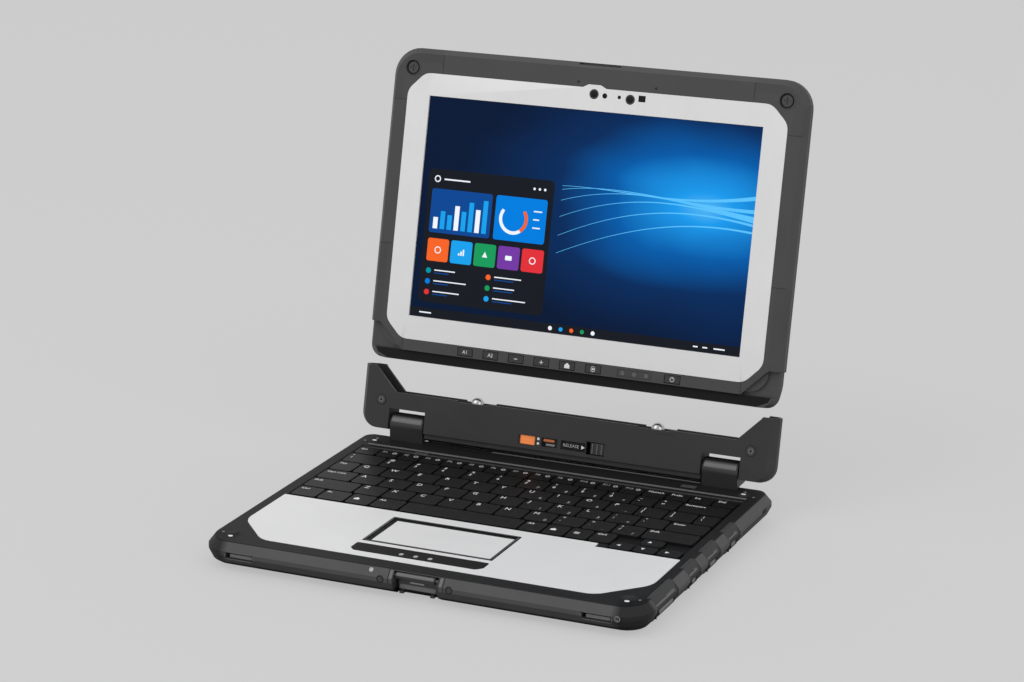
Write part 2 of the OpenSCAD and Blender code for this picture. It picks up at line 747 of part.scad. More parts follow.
// Rubber door: a pad with its lower edge drawn in like the case, turning about a bead along that edge
module port_door(i) {
    len = DOORS[i][1] - DOORS[i][0];
    outer = base_w / 2 - door_x - fit_gap - door_inset;
    color([0.2, 0.2, 0.205])
    translate([door_x + fit_gap, DOORS[i][0], door_z])
        rotate([90, 0, 0]) mirror([0, 0, 1]) linear_extrude(len) {
            translate([outer - door_lean, pivot_r]) circle(pivot_r);
            polygon([
                [0, 0], [outer - door_lean, 0], [outer - door_lean + pivot_r, pivot_r], [outer, split_z - door_z],
                [outer, belt_z - door_z - 0.4], [door_step_x, door_h + 0.5], [0, door_h + 0.5]]);
        }
}

module port_door_1() { port_door(0); }
module port_door_2() { port_door(1); }
module port_door_3() { port_door(2); }
module port_door_4() { port_door(3); }

module latch_pin_hole(play) {
    translate([latch_x, latch_y, latch_z]) x_rod(latch_pin_r + play, latch_bay_w + 2 * base_wall - 1);
}

module latch_pin() {
    color([0.6, 0.6, 0.6])
        translate([latch_x, latch_y, latch_z]) x_rod(latch_pin_r, latch_bay_w + 2 * base_wall - 2);
}

// Lever that hangs behind its pin, and stands up before the closed tablet when it is turned over
module front_latch() {
    color([0.15, 0.15, 0.155])
    translate([latch_x, latch_y, latch_z])
    difference() {
        union() {
            x_rod(latch_pin_r + latch_ear, latch_w);
            span([-latch_w / 2, 0, -latch_pin_r - latch_ear], [latch_w / 2, lever_back_y, 0]);
            span([-latch_w / 2, lever_back_y - lever_t, lever_step - latch_len],
                 [latch_w / 2, lever_back_y, 0]);
            // Two feet at the free end, with lips that go into the tablet's notch
            for (x = LOOP_ENDS) translate([x * latch_foot_x, lever_back_y, -latch_len]) {
                span([-latch_foot_w / 2, -lever_t, 0], [latch_foot_w / 2, 0, lever_step + 1]);
                span([-latch_foot_w / 2, -lever_t - lip_out, 0], [latch_foot_w / 2, 0, 1.5]);
            }
        }
        x_rod(latch_pin_r + shaft_play, latch_w + 2);
    }
}

// ---- Docking carrier, in the lid's frame ----

// Outline of the carrier without the wings' inner edges, for the hull of its rounded sides
module carrier_blank(inset, z) {
    w = base_w - 2 * inset;
    low = inset * 0.2 - carrier_drop;
    r = carrier_r - inset / 2;
    translate([0, 0, z]) linear_extrude(SLICE) {
        translate([-w / 2, low + r]) square([w, wing_top - low - r]);
        translate([r - w / 2, low]) square([w - 2 * r, 2 * r]);
        for (x = LOOP_ENDS) translate([x * (w / 2 - r), low + r]) circle(r, $fn = HULL_FN);
    }
}

// Round edge below the carrier, set back behind its front
module carrier_barrel() {
    intersection() {
        x_rod(barrel_r, 2 * block_x);
        span([-block_x, -2 * barrel_r, -front_w], [block_x, 0, barrel_front_w]);
    }
}

module carrier_mouth() {
    translate([0, 0, -lid_t]) linear_extrude(2 * lid_t) polygon([
        [wing_slope + 1 - wing_inner_x, carrier_h], [wing_inner_x - 1 - wing_slope, carrier_h],
        [wing_inner_x - 1, wing_top - 1.2], [wing_inner_x + 0.6, wing_top + 1],
        [-wing_inner_x - 0.6, wing_top + 1], [1 - wing_inner_x, wing_top - 1.2]]);
}

// Slab of the tongue, grown for the channel around it
module tongue_slice(w, inset, r, grow) {
    half = tablet_w / 2 - tongue_inset - inset + grow;
    translate([0, 0, w]) linear_extrude(SLICE) {
        translate([-half, r - tongue_h]) square([2 * half, tongue_top + tongue_h - r]);
        translate([r - half, -tongue_h - grow]) square([2 * (half - r), 2 * r]);
        for (x = LOOP_ENDS) translate([x * (half - r), r - tongue_h - grow]) circle(r, $fn = HULL_FN);
    }
}

// Lower edge of the tablet that goes into the carrier, rounder towards the rear
module tongue(grow) {
    hull() {
        tongue_slice(tongue_half_t + grow - SLICE, tongue_chamfer, tongue_r + grow, grow);
        tongue_slice(tongue_belt_w + grow, 0, tongue_r + grow, grow);
        tongue_slice(-belt_back_w - grow, 0, tongue_back_r + grow, grow);
        tongue_slice(-tongue_half_t - grow, tongue_chamfer, tongue_back_r + grow, grow);
    }
}

module channel() {
    translate([0, channel_y + tongue_h + fit_gap, 0]) tongue(fit_gap);
}

module hinge_notches() {
    for (x = LOOP_ENDS) translate([x * block_x, 0, 0])
        span([-notch_half_w, -carrier_drop - 20, -lid_t], [notch_half_w, notch_y, lid_t]);
}

// Slots for the hooks, with room for their travel; the hooks move to the left to lock
module hook_slots(y0, y1, half_t) {
    for (x = LOOP_ENDS) translate([x * hook_x, 0, 0])
        span([-hook_nose - 2 - slider_travel - fit_gap, y0, -half_t], [2 + fit_gap + 0.2, y1, half_t]);
}

module carrier_solid() {
    difference() {
        union() {
            hull() {
                carrier_blank(carrier_side_inset, front_w - SLICE);
                carrier_blank(0, carrier_belt_w);
                carrier_blank(0, -carrier_belt_w);
                carrier_blank(rear_inset, -front_w);
            }
            carrier_barrel();
        }
        carrier_mouth();
        channel();
        hinge_notches();
        for (x = LOOP_ENDS) {
            translate([x * block_x, 0, 0]) x_rod(shaft_r + shaft_play, block_w + 14);
            // Relief in the lips round the guide pins
            translate([x * pin_x, carrier_h, 0]) cube([20.5, 1.6, lid_t + 1], center = true);
            translate([x * carrier_screw_x, carrier_screw_y, front_w - 1]) cylinder(r = 3, h = 4);
            translate([x * carrier_screw_x, carrier_screw_y, channel_half_t - 1]) cylinder(r = 1.3, h = 3);
        }
        // Hollow for the latch bar and the connector board
        span([-84, -carrier_drop + 2, 1.4 - front_w], [84, channel_y - 1.6, front_w - 2]);
        for (x = LOOP_ENDS) translate([x * pin_x, channel_y - 3, 0]) rotate([-90, 0, 0])
            cylinder(r = 3, h = 6);
        span([-socket_w / 2, channel_y - 3, -contact_t / 2], [socket_w / 2, channel_y + 1, contact_t / 2]);
        hook_slots(channel_y - 2, channel_y + 1, 2);
        // Slider and indicator windows in the front, and the recesses of the two labels
        span([slider_x - slider_w / 2 - slider_travel - fit_gap, slider_y - 3.9, front_w - 3],
             [slider_x + slider_w / 2 + fit_gap, slider_y + 3.9, front_w + 1]);
        translate([indicator_x, slider_y - 0.3, front_w]) cube([10.4, 5.6, 6], center = true);
        translate([-6.5, slider_y - 0.3, front_w]) cube([10.5, 5.6, 0.8], center = true);
        translate([8.9, slider_y - 0.3, front_w]) cube([16, 5.6, 0.8], center = true);
    }
}

module carrier_front() {
    color([0.2, 0.2, 0.205]) lid() intersection() {
        carrier_solid();
        in_front_of(0);
    }
}

module carrier_rear() {
    color([0.12, 0.12, 0.125]) lid() difference() {
        carrier_solid();
        in_front_of(0);
    }
}

module guide_pins() {
    color([0.8, 0.8, 0.8]) lid()
    for (x = LOOP_ENDS) translate([x * pin_x, channel_y - 3, 0]) rotate([-90, 0, 0]) {
        cylinder(r = 3, h = 3);
        translate([0, 0, 3]) cylinder(r = pin_r, h = channel_depth + pin_rise - pin_r);
        translate([0, 0, 3 + channel_depth + pin_rise - pin_r]) intersection() {
            sphere(pin_r);
            cylinder(r = pin_r, h = pin_r);
        }
    }
}

module dock_connector() {
    color([0.1, 0.1, 0.1]) lid()
    span([-socket_w / 2 + 0.4, channel_y - 3, -contact_t / 2 + 0.1],
         [socket_w / 2 - 0.4, channel_y + contact_h, contact_t / 2 - 0.1]);
    color([0.85, 0.65, 0.3]) lid()
    for (x = [-18:3:18]) translate([x, channel_y + contact_h, 0]) cube([1.2, 0.6, 2.4], center = true);
}

module hinge_shafts() {
    color([0.6, 0.6, 0.62]) lid()
    for (x = LOOP_ENDS) translate([x * block_x, 0, 0]) x_rod(shaft_r, block_w + 13);
}

module release_slider() {
    color([0.15, 0.15, 0.15]) lid() translate([slider_x, slider_y, 0]) {
        span([-slider_w / 2, -3.5, front_w - 3.4], [slider_w / 2, 3.5, front_w - 0.4]);
        for (x = [-3, 0, 3]) translate([x, 0, front_w - 0.3]) cube([1.2, 6.4, 0.8], center = true);
    }
}

// Bar behind the front shell that carries the two hooks and moves with the slider
module latch_bar() {
    color([0.6, 0.6, 0.62]) lid() {
        span([-hook_x - 4, bar_y, -2], [hook_x + 4, bar_y + 4, -0.4]);
        translate([slider_x, slider_y, 0]) span([-3, -2, -0.5], [3, bar_y + 4 - slider_y, front_w - 3.4]);
        translate([slider_x, 0, 0]) span([-3, slider_y - 2, -2], [3, bar_y + 1, -0.4]);
        for (x = LOOP_ENDS) translate([x * hook_x, 0, 0]) {
            span([-2, bar_y, -1.5], [2, channel_y + hook_h, 1.5]);
            span([-2 - hook_nose, channel_y + hook_h - hook_t, -1.5], [0, channel_y + hook_h, 1.5]);
        }
    }
}

module lock_indicator() {
    color([1, 0.5, 0.2]) lid()
        translate([indicator_x, slider_y - 0.3, 0])
            span([-5.1, -2.7, front_w - 2], [5.1, 2.7, front_w - 0.7]);
}

module screw(r, head_r, len) {
    difference() {
        union() {
            cylinder(r = head_r, h = 1.2);
            translate([0, 0, -len]) cylinder(r = r, h = len + 0.5);
        }
        for (a = [0, 90])
            rotate([0, 0, a]) translate([0, 0, 1.2]) cube([head_r * 1.2, 0.6, 1.2], center = true);
    }
}

module carrier_screws() {
    color([0.5, 0.5, 0.52]) lid()
    for (x = LOOP_ENDS) translate([x * carrier_screw_x, carrier_screw_y, front_w - 1])
        screw(1.25, 2.8, front_w - 1 - channel_half_t);
}

// ---- Tablet, in its own frame ----

module tablet_slice(z, inset) {
    w = tablet_w - 2 * inset;
    top = tablet_h - inset;
    low = -tongue_h;
    translate([0, (top + low) / 2, z]) linear_extrude(SLICE)
        round_rect(w, top - low, tablet_r - inset / 2, $fn = HULL_FN);
}

// Space outside the tablet's slanted bottom corners and below its ledge
module below_ledge() {
    d = 0.6;
    inner = wing_inner_x - 1 - wing_slope - d;
    for (x = [0, 1]) mirror([x, 0, 0]) translate([0, 0, -lid_t]) linear_extrude(2 * lid_t) polygon([
        [-1, -20], [-1, 0], [inner, 0], [inner + wing_slope, wing_slope],
        [inner + wing_slope + 2.2, wing_slope + 1.6], [tablet_w, wing_slope + 1.6], [tablet_w, -20]]);
}

module tablet_outer() {
    difference() {
        hull() {
            tablet_slice(front_w - SLICE, front_inset);
            tablet_slice(belt_w, 0);
            tablet_slice(-belt_back_w, 0);
            tablet_slice(-front_w, rear_inset);
        }
        below_ledge();
    }
    tongue(0);
}

module bezel_outline(grow, bump) {
    w = bezel_half_w + grow;
    low = bezel_bottom - grow;
    high = bezel_top + grow;
    c = bezel_corner + grow * 0.41;
    points = concat(
        [[-w, low + c], [c - w, low], [w - c, low], [w, low + c], [w, high - c], [w - c, high]],
        bump ? [[7.7 + grow, high], [4 + grow, high + 1.9], [-4 - grow, high + 1.9], [-7.7 - grow, high]]
             : [],
        [[c - w, high], [-w, high - c]]);
    polygon(eased_outline(points, [for (q = points) abs(q[0]) > w / 2 ? bezel_ease : 0]));
}

module bezel_opening() {
    translate([0, 0, bezel_w]) linear_extrude(5) bezel_outline(0.15, true);
    translate([0, 0, -lid_t]) linear_extrude(2 * lid_t) bezel_outline(-3, false);
}

module pin_sockets() {
    for (x = LOOP_ENDS) translate([x * pin_x, -tongue_h - 1, 0]) rotate([-90, 0, 0])
        cylinder(r = pin_r + fit_gap, h = tongue_h + pin_rise + 2);
    // Mouths for the hooks, and the undercuts behind their catches
    for (x = LOOP_ENDS) translate([x * hook_x, 0, 0]) {
        span([-2 - hook_nose - 0.4, -tongue_h - 1, -2], [2.4, -tongue_h + hook_h + 0.4, 2]);
        span([-2 - hook_nose - slider_travel - 0.4, -tongue_h + catch_t, -2],
             [0, -tongue_h + hook_h + 0.4, 2]);
    }
    // Recess for the dock connector and its socket
    span([-socket_w / 2, -tongue_h - 1, -contact_t / 2 - 0.4],
         [socket_w / 2, socket_depth - tongue_h, contact_t / 2 + 0.4]);
}

module button_pockets() {
    for (x = BUTTON_XS) translate([x, button_rise, pocket_w + 5])
        cube([button_w, button_h, 10], center = true);
    translate([window_x, button_rise, front_w]) cube([window_w, 4.4, 1.6], center = true);
}

module corner_screw_places() {
    for (x = LOOP_ENDS) translate([x * CORNER_SCREW[0], CORNER_SCREW[1], 0]) children();
}

// Shallow cut for the latch lever, and the deeper pocket for its lip
module latch_notch() {
    lip_w = hinge_rise + top_z - latch_z - latch_len;
    half_w = latch_w / 2 + 1.6;
    foot_reach = latch_foot_x + latch_foot_w / 2 + 0.6;
    translate([latch_x, tablet_h, 0]) {
        span([-half_w, -latch_notch_d, lip_w - 1.1], [half_w, 1, lid_t]);
        span([-foot_reach, -2 * latch_notch_d, lip_w - 0.6], [foot_reach, 1, lip_w + 2]);
    }
}

module guard_region(top) {
    for (x = [0, 1]) mirror([x, 0, 0])
        if (top)
            span([guard_x - 10, guard_high, -lid_t], [tablet_w, 2 * tablet_h, 2 * lid_t]);
        else
            span([guard_x, -tablet_h, -lid_t], [tablet_w, guard_low, 2 * lid_t]);
}

module tablet_frame() {
    color([0.28, 0.28, 0.285]) tablet() difference() {
        intersection() {
            tablet_outer();
            in_front_of(lid_split_w);
        }
        bezel_opening();
        pin_sockets();
        button_pockets();
        corner_screw_places() translate([0, 0, front_w - 1.8]) cylinder(r = 4.6, h = 5);
        corner_screw_places() cylinder(r = 1.3, h = lid_t);
        latch_notch();
        guard_cut(0);
    }
}

// Layer of the frame's corners that the guards replace, stepping in from the outside
module guard_cut(gap) {
    intersection() {
        union() {
            guard_region(true);
            guard_region(false);
        }
        difference() {
            in_front_of(lid_split_w + 2.4);
            translate([0, (tablet_h - tongue_h) / 2, 0])
                round_block(tablet_w - 17, tablet_h + tongue_h - 17, 3 * lid_t, tablet_r - 5);
            translate([-tablet_w, -tablet_w, 0]) cube([2 * tablet_w, tablet_w, 3 * lid_t]);
        }
    }
}

module corner_guards() {
    color([0.24, 0.24, 0.245]) tablet() difference() {
        intersection() {
            tablet_outer();
            guard_cut(0);
        }
        bezel_opening();
        below_ledge();
        corner_screw_places() translate([0, 0, front_w - 1.8]) cylinder(r = 4.6, h = 5);
    }
}

module tablet_rear_cover() {
    color([0.13, 0.13, 0.135]) tablet() difference() {
        tablet_outer();
        in_front_of(lid_split_w);
        // Inside of the tray
        difference() {
            translate([0, (tablet_h + 9) / 2, tablet_wall - front_w])
                round_block(tablet_w - 2 * (rear_inset + tablet_wall + 2),
                            tablet_h - 9 - 2 * (rear_inset + tablet_wall),
                            lid_t, 8);
            corner_screw_places() translate([0, 0, -front_w]) cylinder(r = 3.6, h = lid_t);
            for (x = [-1, 0, 1], y = [inner_board_low + 4, inner_board_high - 6])
                translate([x * (inner_board_half_w - 6), y, -front_w])
                    cylinder(r = 2.6, h = front_w + panel_w - 1.6);
        }
        corner_screw_places() translate([0, 0, tablet_wall + 1 - front_w]) cylinder(r = 1.3, h = lid_t);
        pin_sockets();
        latch_notch();
    }
}

module screen_bezel() {
    color([0.86, 0.86, 0.87]) tablet() difference() {
        translate([0, 0, bezel_w]) linear_extrude(bezel_t) bezel_outline(0, true);
        translate([0, screen_rise + screen_h / 2, front_w]) cube([screen_w, screen_h, 10], center = true);
        camera_places(0.1) cylinder(h = 10, center = true);
    }
}

// Lenses and sensors: place across, distance below the bezel's top edge, radius
CAMERAS = [[0, 3.7, 2.9], [7, 4.2, 1.5], [16.4, 4.3, 1], [23.5, 5.1, 2.9]];
module camera_discs(z, h, play) {
    for (c = CAMERAS) translate([c[0], bezel_top - c[1], z]) cylinder(r = c[2] + play, h = h);
    translate([31, bezel_top - 4, z + h / 2]) cube([4.3 + 2 * play, 3.6 + 2 * play, h], center = true);
}
module camera_places(play) { camera_discs(bezel_w - 1, bezel_t + 3, play); }

module camera_lenses() {
    color([0.03, 0.03, 0.04]) tablet() camera_discs(bezel_w, bezel_t - 0.1, 0);
}

module camera_board() {
    color([0.05, 0.25, 0.14]) tablet()
        span([-12, bezel_top - 9.3, bezel_w - 1], [40, bezel_top - 3.4, bezel_w]);
}

module display_glass() {
    color([0.02, 0.03, 0.06]) tablet()
        translate([0, screen_rise + screen_h / 2, glass_w])
            round_block(screen_w + 6, screen_h + 6, glass_t, 2);
}

module display_panel() {
    color([0.1, 0.2, 0.5]) tablet()
        translate([0, screen_rise + screen_h / 2, panel_w + panel_t / 2])
            cube([screen_w + 4, screen_h + 4, panel_t], center = true);
}

module tablet_board() {
    color([0.05, 0.25, 0.14]) tablet()
        span([-inner_board_half_w, inner_board_low, panel_w - 1.6],
             [inner_board_half_w, inner_board_high, panel_w - 0.4]);
}

module tablet_battery() {
    color([0.08, 0.08, 0.09]) tablet()
        span([16 - inner_board_half_w, 24, tablet_wall - front_w],
             [inner_board_half_w - 16, inner_board_low - 6, panel_w - 1.2]);
}

module dock_socket() {
    color([0.1, 0.1, 0.1]) tablet()
        span([-socket_w / 2, socket_depth - tongue_h - 2.2, -contact_t / 2 - 0.4],
             [socket_w / 2, socket_depth - tongue_h, contact_t / 2 + 0.4]);
}

module status_window() {
    color([0.05, 0.05, 0.05]) tablet()
        translate([window_x, button_rise, front_w - 0.45]) cube([window_w - 0.2, 4.2, 0.7], center = true);
}

module tablet_screws() {
    color([0.5, 0.5, 0.52]) tablet()
        corner_screw_places() translate([0, 0, front_w - 1.8]) screw(1.2, 3.4, 7);
}

module front_button(i) {
    color([0.12, 0.12, 0.125]) tablet()
        translate([BUTTON_XS[i], button_rise, (button_back_w + front_w + 0.1) / 2])
            cube([button_w - 2 * fit_gap, button_h - 2 * fit_gap, front_w + 0.1 - button_back_w],
                 center = true);
}

module button_a1() { front_button(0); }
module button_a2() { front_button(1); }
module button_minus() { front_button(2); }
module button_plus() { front_button(3); }
module button_home() { front_button(4); }
module button_rotate() { front_button(5); }
module button_power() { front_button(6); }

bottom_case();
top_cover();
palm_rest();
touchpad_frame();
touchpad();
button_bar();
keyboard_tray();
keys_control_row();
keys_lower_row();
keys_middle_row();
keys_upper_row();
keys_number_row();
keys_function_row();
hinge_blocks();
corner_bumpers();
rubber_feet();
base_board();
base_ports();
base_screws();
port_door_1();
port_door_2();
port_door_3();
port_door_4();
front_latch();
latch_pin();
carrier_front();
carrier_rear();
guide_pins();
dock_connector();
hinge_shafts();
release_slider();
latch_bar();
lock_indicator();
carrier_screws();
tablet_rear_cover();
tablet_frame();
corner_guards();
screen_bezel();
display_glass();
display_panel();
camera_board();
camera_lenses();
tablet_board();
tablet_battery();
dock_socket();
status_window();
tablet_screws();
button_a1();
button_a2();
button_minus();
button_plus();
button_home();
button_rotate();
button_power();
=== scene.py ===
"""Looks for a rugged laptop: a tablet lifted off its hinged docking carrier, above a keyboard base.

Sizes are in millimetres in three working frames, and become metres of the shared frame when a piece is made:
the base frame (the shared frame itself), the lid frame (origin on the hinge axis, Y up the screen, Z out of
the glass) and the tablet frame (the lid frame with Y counted from the tablet's lower ledge).
"""

import json
import math

import bmesh
import bpy
from mathutils import Matrix, Vector


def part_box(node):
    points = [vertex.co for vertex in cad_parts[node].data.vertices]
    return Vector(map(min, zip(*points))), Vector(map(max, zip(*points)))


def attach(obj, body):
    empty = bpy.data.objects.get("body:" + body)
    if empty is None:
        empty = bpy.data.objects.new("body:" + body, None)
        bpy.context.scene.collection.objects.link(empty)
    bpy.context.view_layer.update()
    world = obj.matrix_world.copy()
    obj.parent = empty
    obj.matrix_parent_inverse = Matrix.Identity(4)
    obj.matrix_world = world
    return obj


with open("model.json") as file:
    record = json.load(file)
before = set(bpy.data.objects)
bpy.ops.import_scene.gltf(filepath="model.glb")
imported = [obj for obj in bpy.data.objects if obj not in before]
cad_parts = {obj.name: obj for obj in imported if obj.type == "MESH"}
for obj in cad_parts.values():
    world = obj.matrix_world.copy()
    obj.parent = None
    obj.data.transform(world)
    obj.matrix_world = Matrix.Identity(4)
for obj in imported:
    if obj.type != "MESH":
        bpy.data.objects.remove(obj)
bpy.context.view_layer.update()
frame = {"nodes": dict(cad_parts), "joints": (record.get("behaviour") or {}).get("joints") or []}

bl_info = {
    "name": "Rugged laptop",
    "version": (1, 0, 0),
    "blender": (4, 5, 0),
    "location": "View3D > Sidebar > Laptop",
    "description": "Dresses the solids of a laptop with a lift-off screen",
    "category": "Object",
}

MM = 0.001
NODES = frame["nodes"]
JOINTS = {joint["name"]: joint for joint in frame["joints"]}


# ---- Places, read from the solids and the joints ----


def box_mm(node):
    """Lowest and highest corner of a solid at rest, in millimetres."""
    low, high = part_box(node)
    return low / MM, high / MM


def lid_frame():
    """Matrix from lid millimetres to the shared frame, in metres."""
    up = Vector(JOINTS["tablet_lift"]["axis"])
    across = Vector((1, 0, 0))
    out = across.cross(up)
    turn = Matrix((across, up, out)).transposed().to_4x4()
    return Matrix.Translation(JOINTS["lid_hinge"]["pos_m"]) @ turn @ Matrix.Scale(MM, 4)


def front_face(y, z=0.0, tilt=math.pi / 2):
    """Matrix for drawing on the base's front: X to the right, Y up the face and Z out of it."""
    return Matrix.Translation((0, y * MM, z * MM)) @ Matrix.Rotation(tilt, 4, "X") @ BASE


def right_face(x):
    """Matrix for drawing on the base's right side: X to the back, Y up and Z out of it."""
    upright = Matrix(((0, 0, 1, 0), (1, 0, 0, 0), (0, 1, 0, 0), (0, 0, 0, 1)))
    return Matrix.Translation((x * MM, 0, 0)) @ upright @ BASE


BASE = Matrix.Scale(MM, 4)
LID = lid_frame()
LEDGE = 46.55  # height of the tablet's lower ledge above the hinge axis
TABLET = LID @ Matrix.Translation((0, LEDGE, 0))
TURNED = Matrix.Rotation(math.pi, 4, "Y")  # from the front to the back of the lid or the tablet

PALM_Z = box_mm("palm_rest")[1].z
TOP_Z = PALM_Z - 0.3
FLOOR_Z = box_mm("bottom_case")[0].z
HALF_W = box_mm("top_cover")[1].x
FRONT_Y = box_mm("top_cover")[0].y
SPLIT_Z = box_mm("top_cover")[0].z
BELT_Z = SPLIT_Z + 2.5  # where the upright front turns into the slanted one
SLANT_RUN = 4.0  # how far the slanted front leans back
LID_T = 14.5
FACE = LID_T / 2  # front face of carrier and tablet
GLASS_FACE = FACE - 1.2
SCREEN_W, SCREEN_H, SCREEN_RISE = 216.96, 135.6, 21.5
SKIN = 0.06  # how far thin trim stands off what it lies on
SINK = 0.1  # how far it reaches into that


def on(face, lift=SKIN):
    """Lower and upper height of thin trim that lies on a face."""
    return face - SINK, face + lift


# ---- Materials ----

# The tone bands and the corner share below paint light and shade into the colours of the casing and the port
# doors.
TONE_HEIGHT = 20.0  # height above the desk that the tone bands run over
BAND_BLEND = 0.01  # half the width of the blend between two bands, as a share of that height
CORNER_X = (117, 122)  # across the base, where its front corners start to darken and where they are darkest
CORNER_Y = (-84, -88)  # the same towards the front


def new_material(name):
    material = bpy.data.materials.new(name)
    material.use_nodes = True
    return material, material.node_tree.nodes, material.node_tree.links


def add_node(nodes, kind, place, **values):
    """New node; the values are inputs of the node, or else its settings."""
    node = nodes.new(kind)
    node.location = place
    for key, value in values.items():
        if key in node.inputs:
            node.inputs[key].default_value = value
        else:
            setattr(node, key, value)
    return node


def product(nodes, links, kind, place, first, second):
    """Output of a new node that multiplies two sockets."""
    node = add_node(nodes, kind, place, operation="MULTIPLY")
    links.new(first, node.inputs[0])
    links.new(second, node.inputs[1])
    return node.outputs[0]


def set_inputs(node, values):
    for key, value in values.items():
        node.inputs[key].default_value = value


def rgba(colour):
    return (*colour, 1.0)


def even(value):
    return rgba((value, value, value))


def grey(value):
    """Faintly cool grey."""
    return (value, value, value * 1.03)


def share(colour, part):
    return [min(1, c * part) for c in colour]


def fill_ramp(ramp, stops):
    """Gives a colour ramp its (position, colour) stops."""
    elements = ramp.color_ramp.elements
    while len(elements) < len(stops):
        elements.new(0.5)
    for element, (position, colour) in zip(elements, stops):
        element.position, element.color = position, rgba(colour)


def painted_light_by_height(nodes, links, coords, bands, corners):
    """Painted light and shade: share of the colour by height, and the lower share at the two front corners.
    """
    split = add_node(nodes, "ShaderNodeSeparateXYZ", (-1100, 480))
    links.new(coords.outputs["Object"], split.inputs[0])
    height = add_node(nodes, "ShaderNodeMapRange", (-900, 480))
    set_inputs(height, {"From Max": TONE_HEIGHT * MM})
    links.new(split.outputs["Z"], height.inputs["Value"])
    ramp = add_node(nodes, "ShaderNodeValToRGB", (-700, 480))
    elements = ramp.color_ramp.elements
    before = bands[0][1]
    elements[0].color = even(before)
    elements.remove(elements[1])
    for z, part in bands:
        middle = z / TONE_HEIGHT
        for place, value in ((middle - BAND_BLEND, before), (middle + BAND_BLEND, part)):
            elements.new(max(0.0, min(1.0, place))).color = even(value)
        before = part
    links.new(height.outputs[0], ramp.inputs["Fac"])
    if not corners:
        return ramp.outputs["Color"]
    side = add_node(nodes, "ShaderNodeMath", (-900, 760), operation="ABSOLUTE")
    links.new(split.outputs["X"], side.inputs[0])
    shares = []
    for socket, (start, end) in ((side.outputs[0], CORNER_X), (split.outputs["Y"], CORNER_Y)):
        reach = add_node(nodes, "ShaderNodeMapRange", (-700, 760))
        set_inputs(reach, {"From Min": start * MM, "From Max": end * MM})
        links.new(socket, reach.inputs["Value"])
        shares.append(reach.outputs[0])
    both = product(nodes, links, "ShaderNodeMath", (-500, 760), *shares)
    left = add_node(nodes, "ShaderNodeMapRange", (-340, 760))
    set_inputs(left, {"To Min": 1.0, "To Max": corners})
    links.new(both, left.inputs["Value"])
    return product(nodes, links, "ShaderNodeVectorMath", (-180, 600), ramp.outputs["Color"], left.outputs[0])


def finish(name, colour, roughness, grain=1400.0, depth=0.05, mottle=0.08, metallic=0.0, coat=0.0,
           spread=0.12, stretch=(1, 1, 1), shine=0.5, bands=(), corners=0.0):
    """Moulded, painted or brushed surface: fine grain in the bump, slow drift in colour and roughness.

    bands paint light and shade by height: a list of (height in millimetres, share of the colour from there
    up);
    corners is the share of the colour that is left at the front corners of the base.
    """
    material, nodes, links = new_material(name)
    shader = nodes["Principled BSDF"]
    set_inputs(shader, {"Metallic": metallic, "Coat Weight": coat, "Coat Roughness": 0.12,
                        "Specular IOR Level": shine})
    coords = add_node(nodes, "ShaderNodeTexCoord", (-1100, 0))
    mapping = add_node(nodes, "ShaderNodeMapping", (-920, 0), Scale=stretch)
    links.new(coords.outputs["Object"], mapping.inputs["Vector"])
    fine = add_node(nodes, "ShaderNodeTexNoise", (-700, -260), Scale=grain, Detail=3.0, Roughness=0.6)
    slow = add_node(nodes, "ShaderNodeTexNoise", (-700, 120), Scale=38.0, Detail=4.0, Roughness=0.55)
    links.new(mapping.outputs[0], fine.inputs["Vector"])
    links.new(mapping.outputs[0], slow.inputs["Vector"])
    ramp = add_node(nodes, "ShaderNodeValToRGB", (-460, 140))
    fill_ramp(ramp, ((0.3, share(colour, 1 - mottle)), (0.7, share(colour, 1 + mottle))))
    links.new(slow.outputs["Fac"], ramp.inputs["Fac"])
    paint = ramp.outputs["Color"]
    # painted light and shade by height, multiplied into the colour
    if bands:
        tone = painted_light_by_height(nodes, links, coords, bands, corners)
        paint = product(nodes, links, "ShaderNodeVectorMath", (-240, 260), paint, tone)
    links.new(paint, shader.inputs["Base Color"])
    rough = add_node(nodes, "ShaderNodeMapRange", (-460, -120))
    set_inputs(rough, {"To Min": max(0.02, roughness - spread / 2),
                       "To Max": min(1.0, roughness + spread / 2)})
    links.new(fine.outputs["Fac"], rough.inputs["Value"])
    links.new(rough.outputs[0], shader.inputs["Roughness"])
    bump = add_node(nodes, "ShaderNodeBump", (-240, -320), Strength=depth, Distance=0.0004)
    links.new(fine.outputs["Fac"], bump.inputs["Height"])
    links.new(bump.outputs[0], shader.inputs["Normal"])
    return material


def glow(name, colour):
    """Lit pixels under the glass."""
    material, nodes, links = new_material(name)
    shader = nodes["Principled BSDF"]
    set_inputs(shader, {"Base Color": rgba(share(colour, 0.1)), "Roughness": 0.35, "Specular IOR Level": 0.03,
                        "Emission Strength": 1.0})
    noise = add_node(nodes, "ShaderNodeTexNoise", (-520, 0), Scale=90.0, Detail=1.0)
    ramp = add_node(nodes, "ShaderNodeValToRGB", (-300, 0))
    fill_ramp(ramp, ((0.0, share(colour, 0.92)), (1.0, share(colour, 1.08))))
    links.new(noise.outputs["Fac"], ramp.inputs["Fac"])
    links.new(ramp.outputs["Color"], shader.inputs["Emission Color"])
    return material


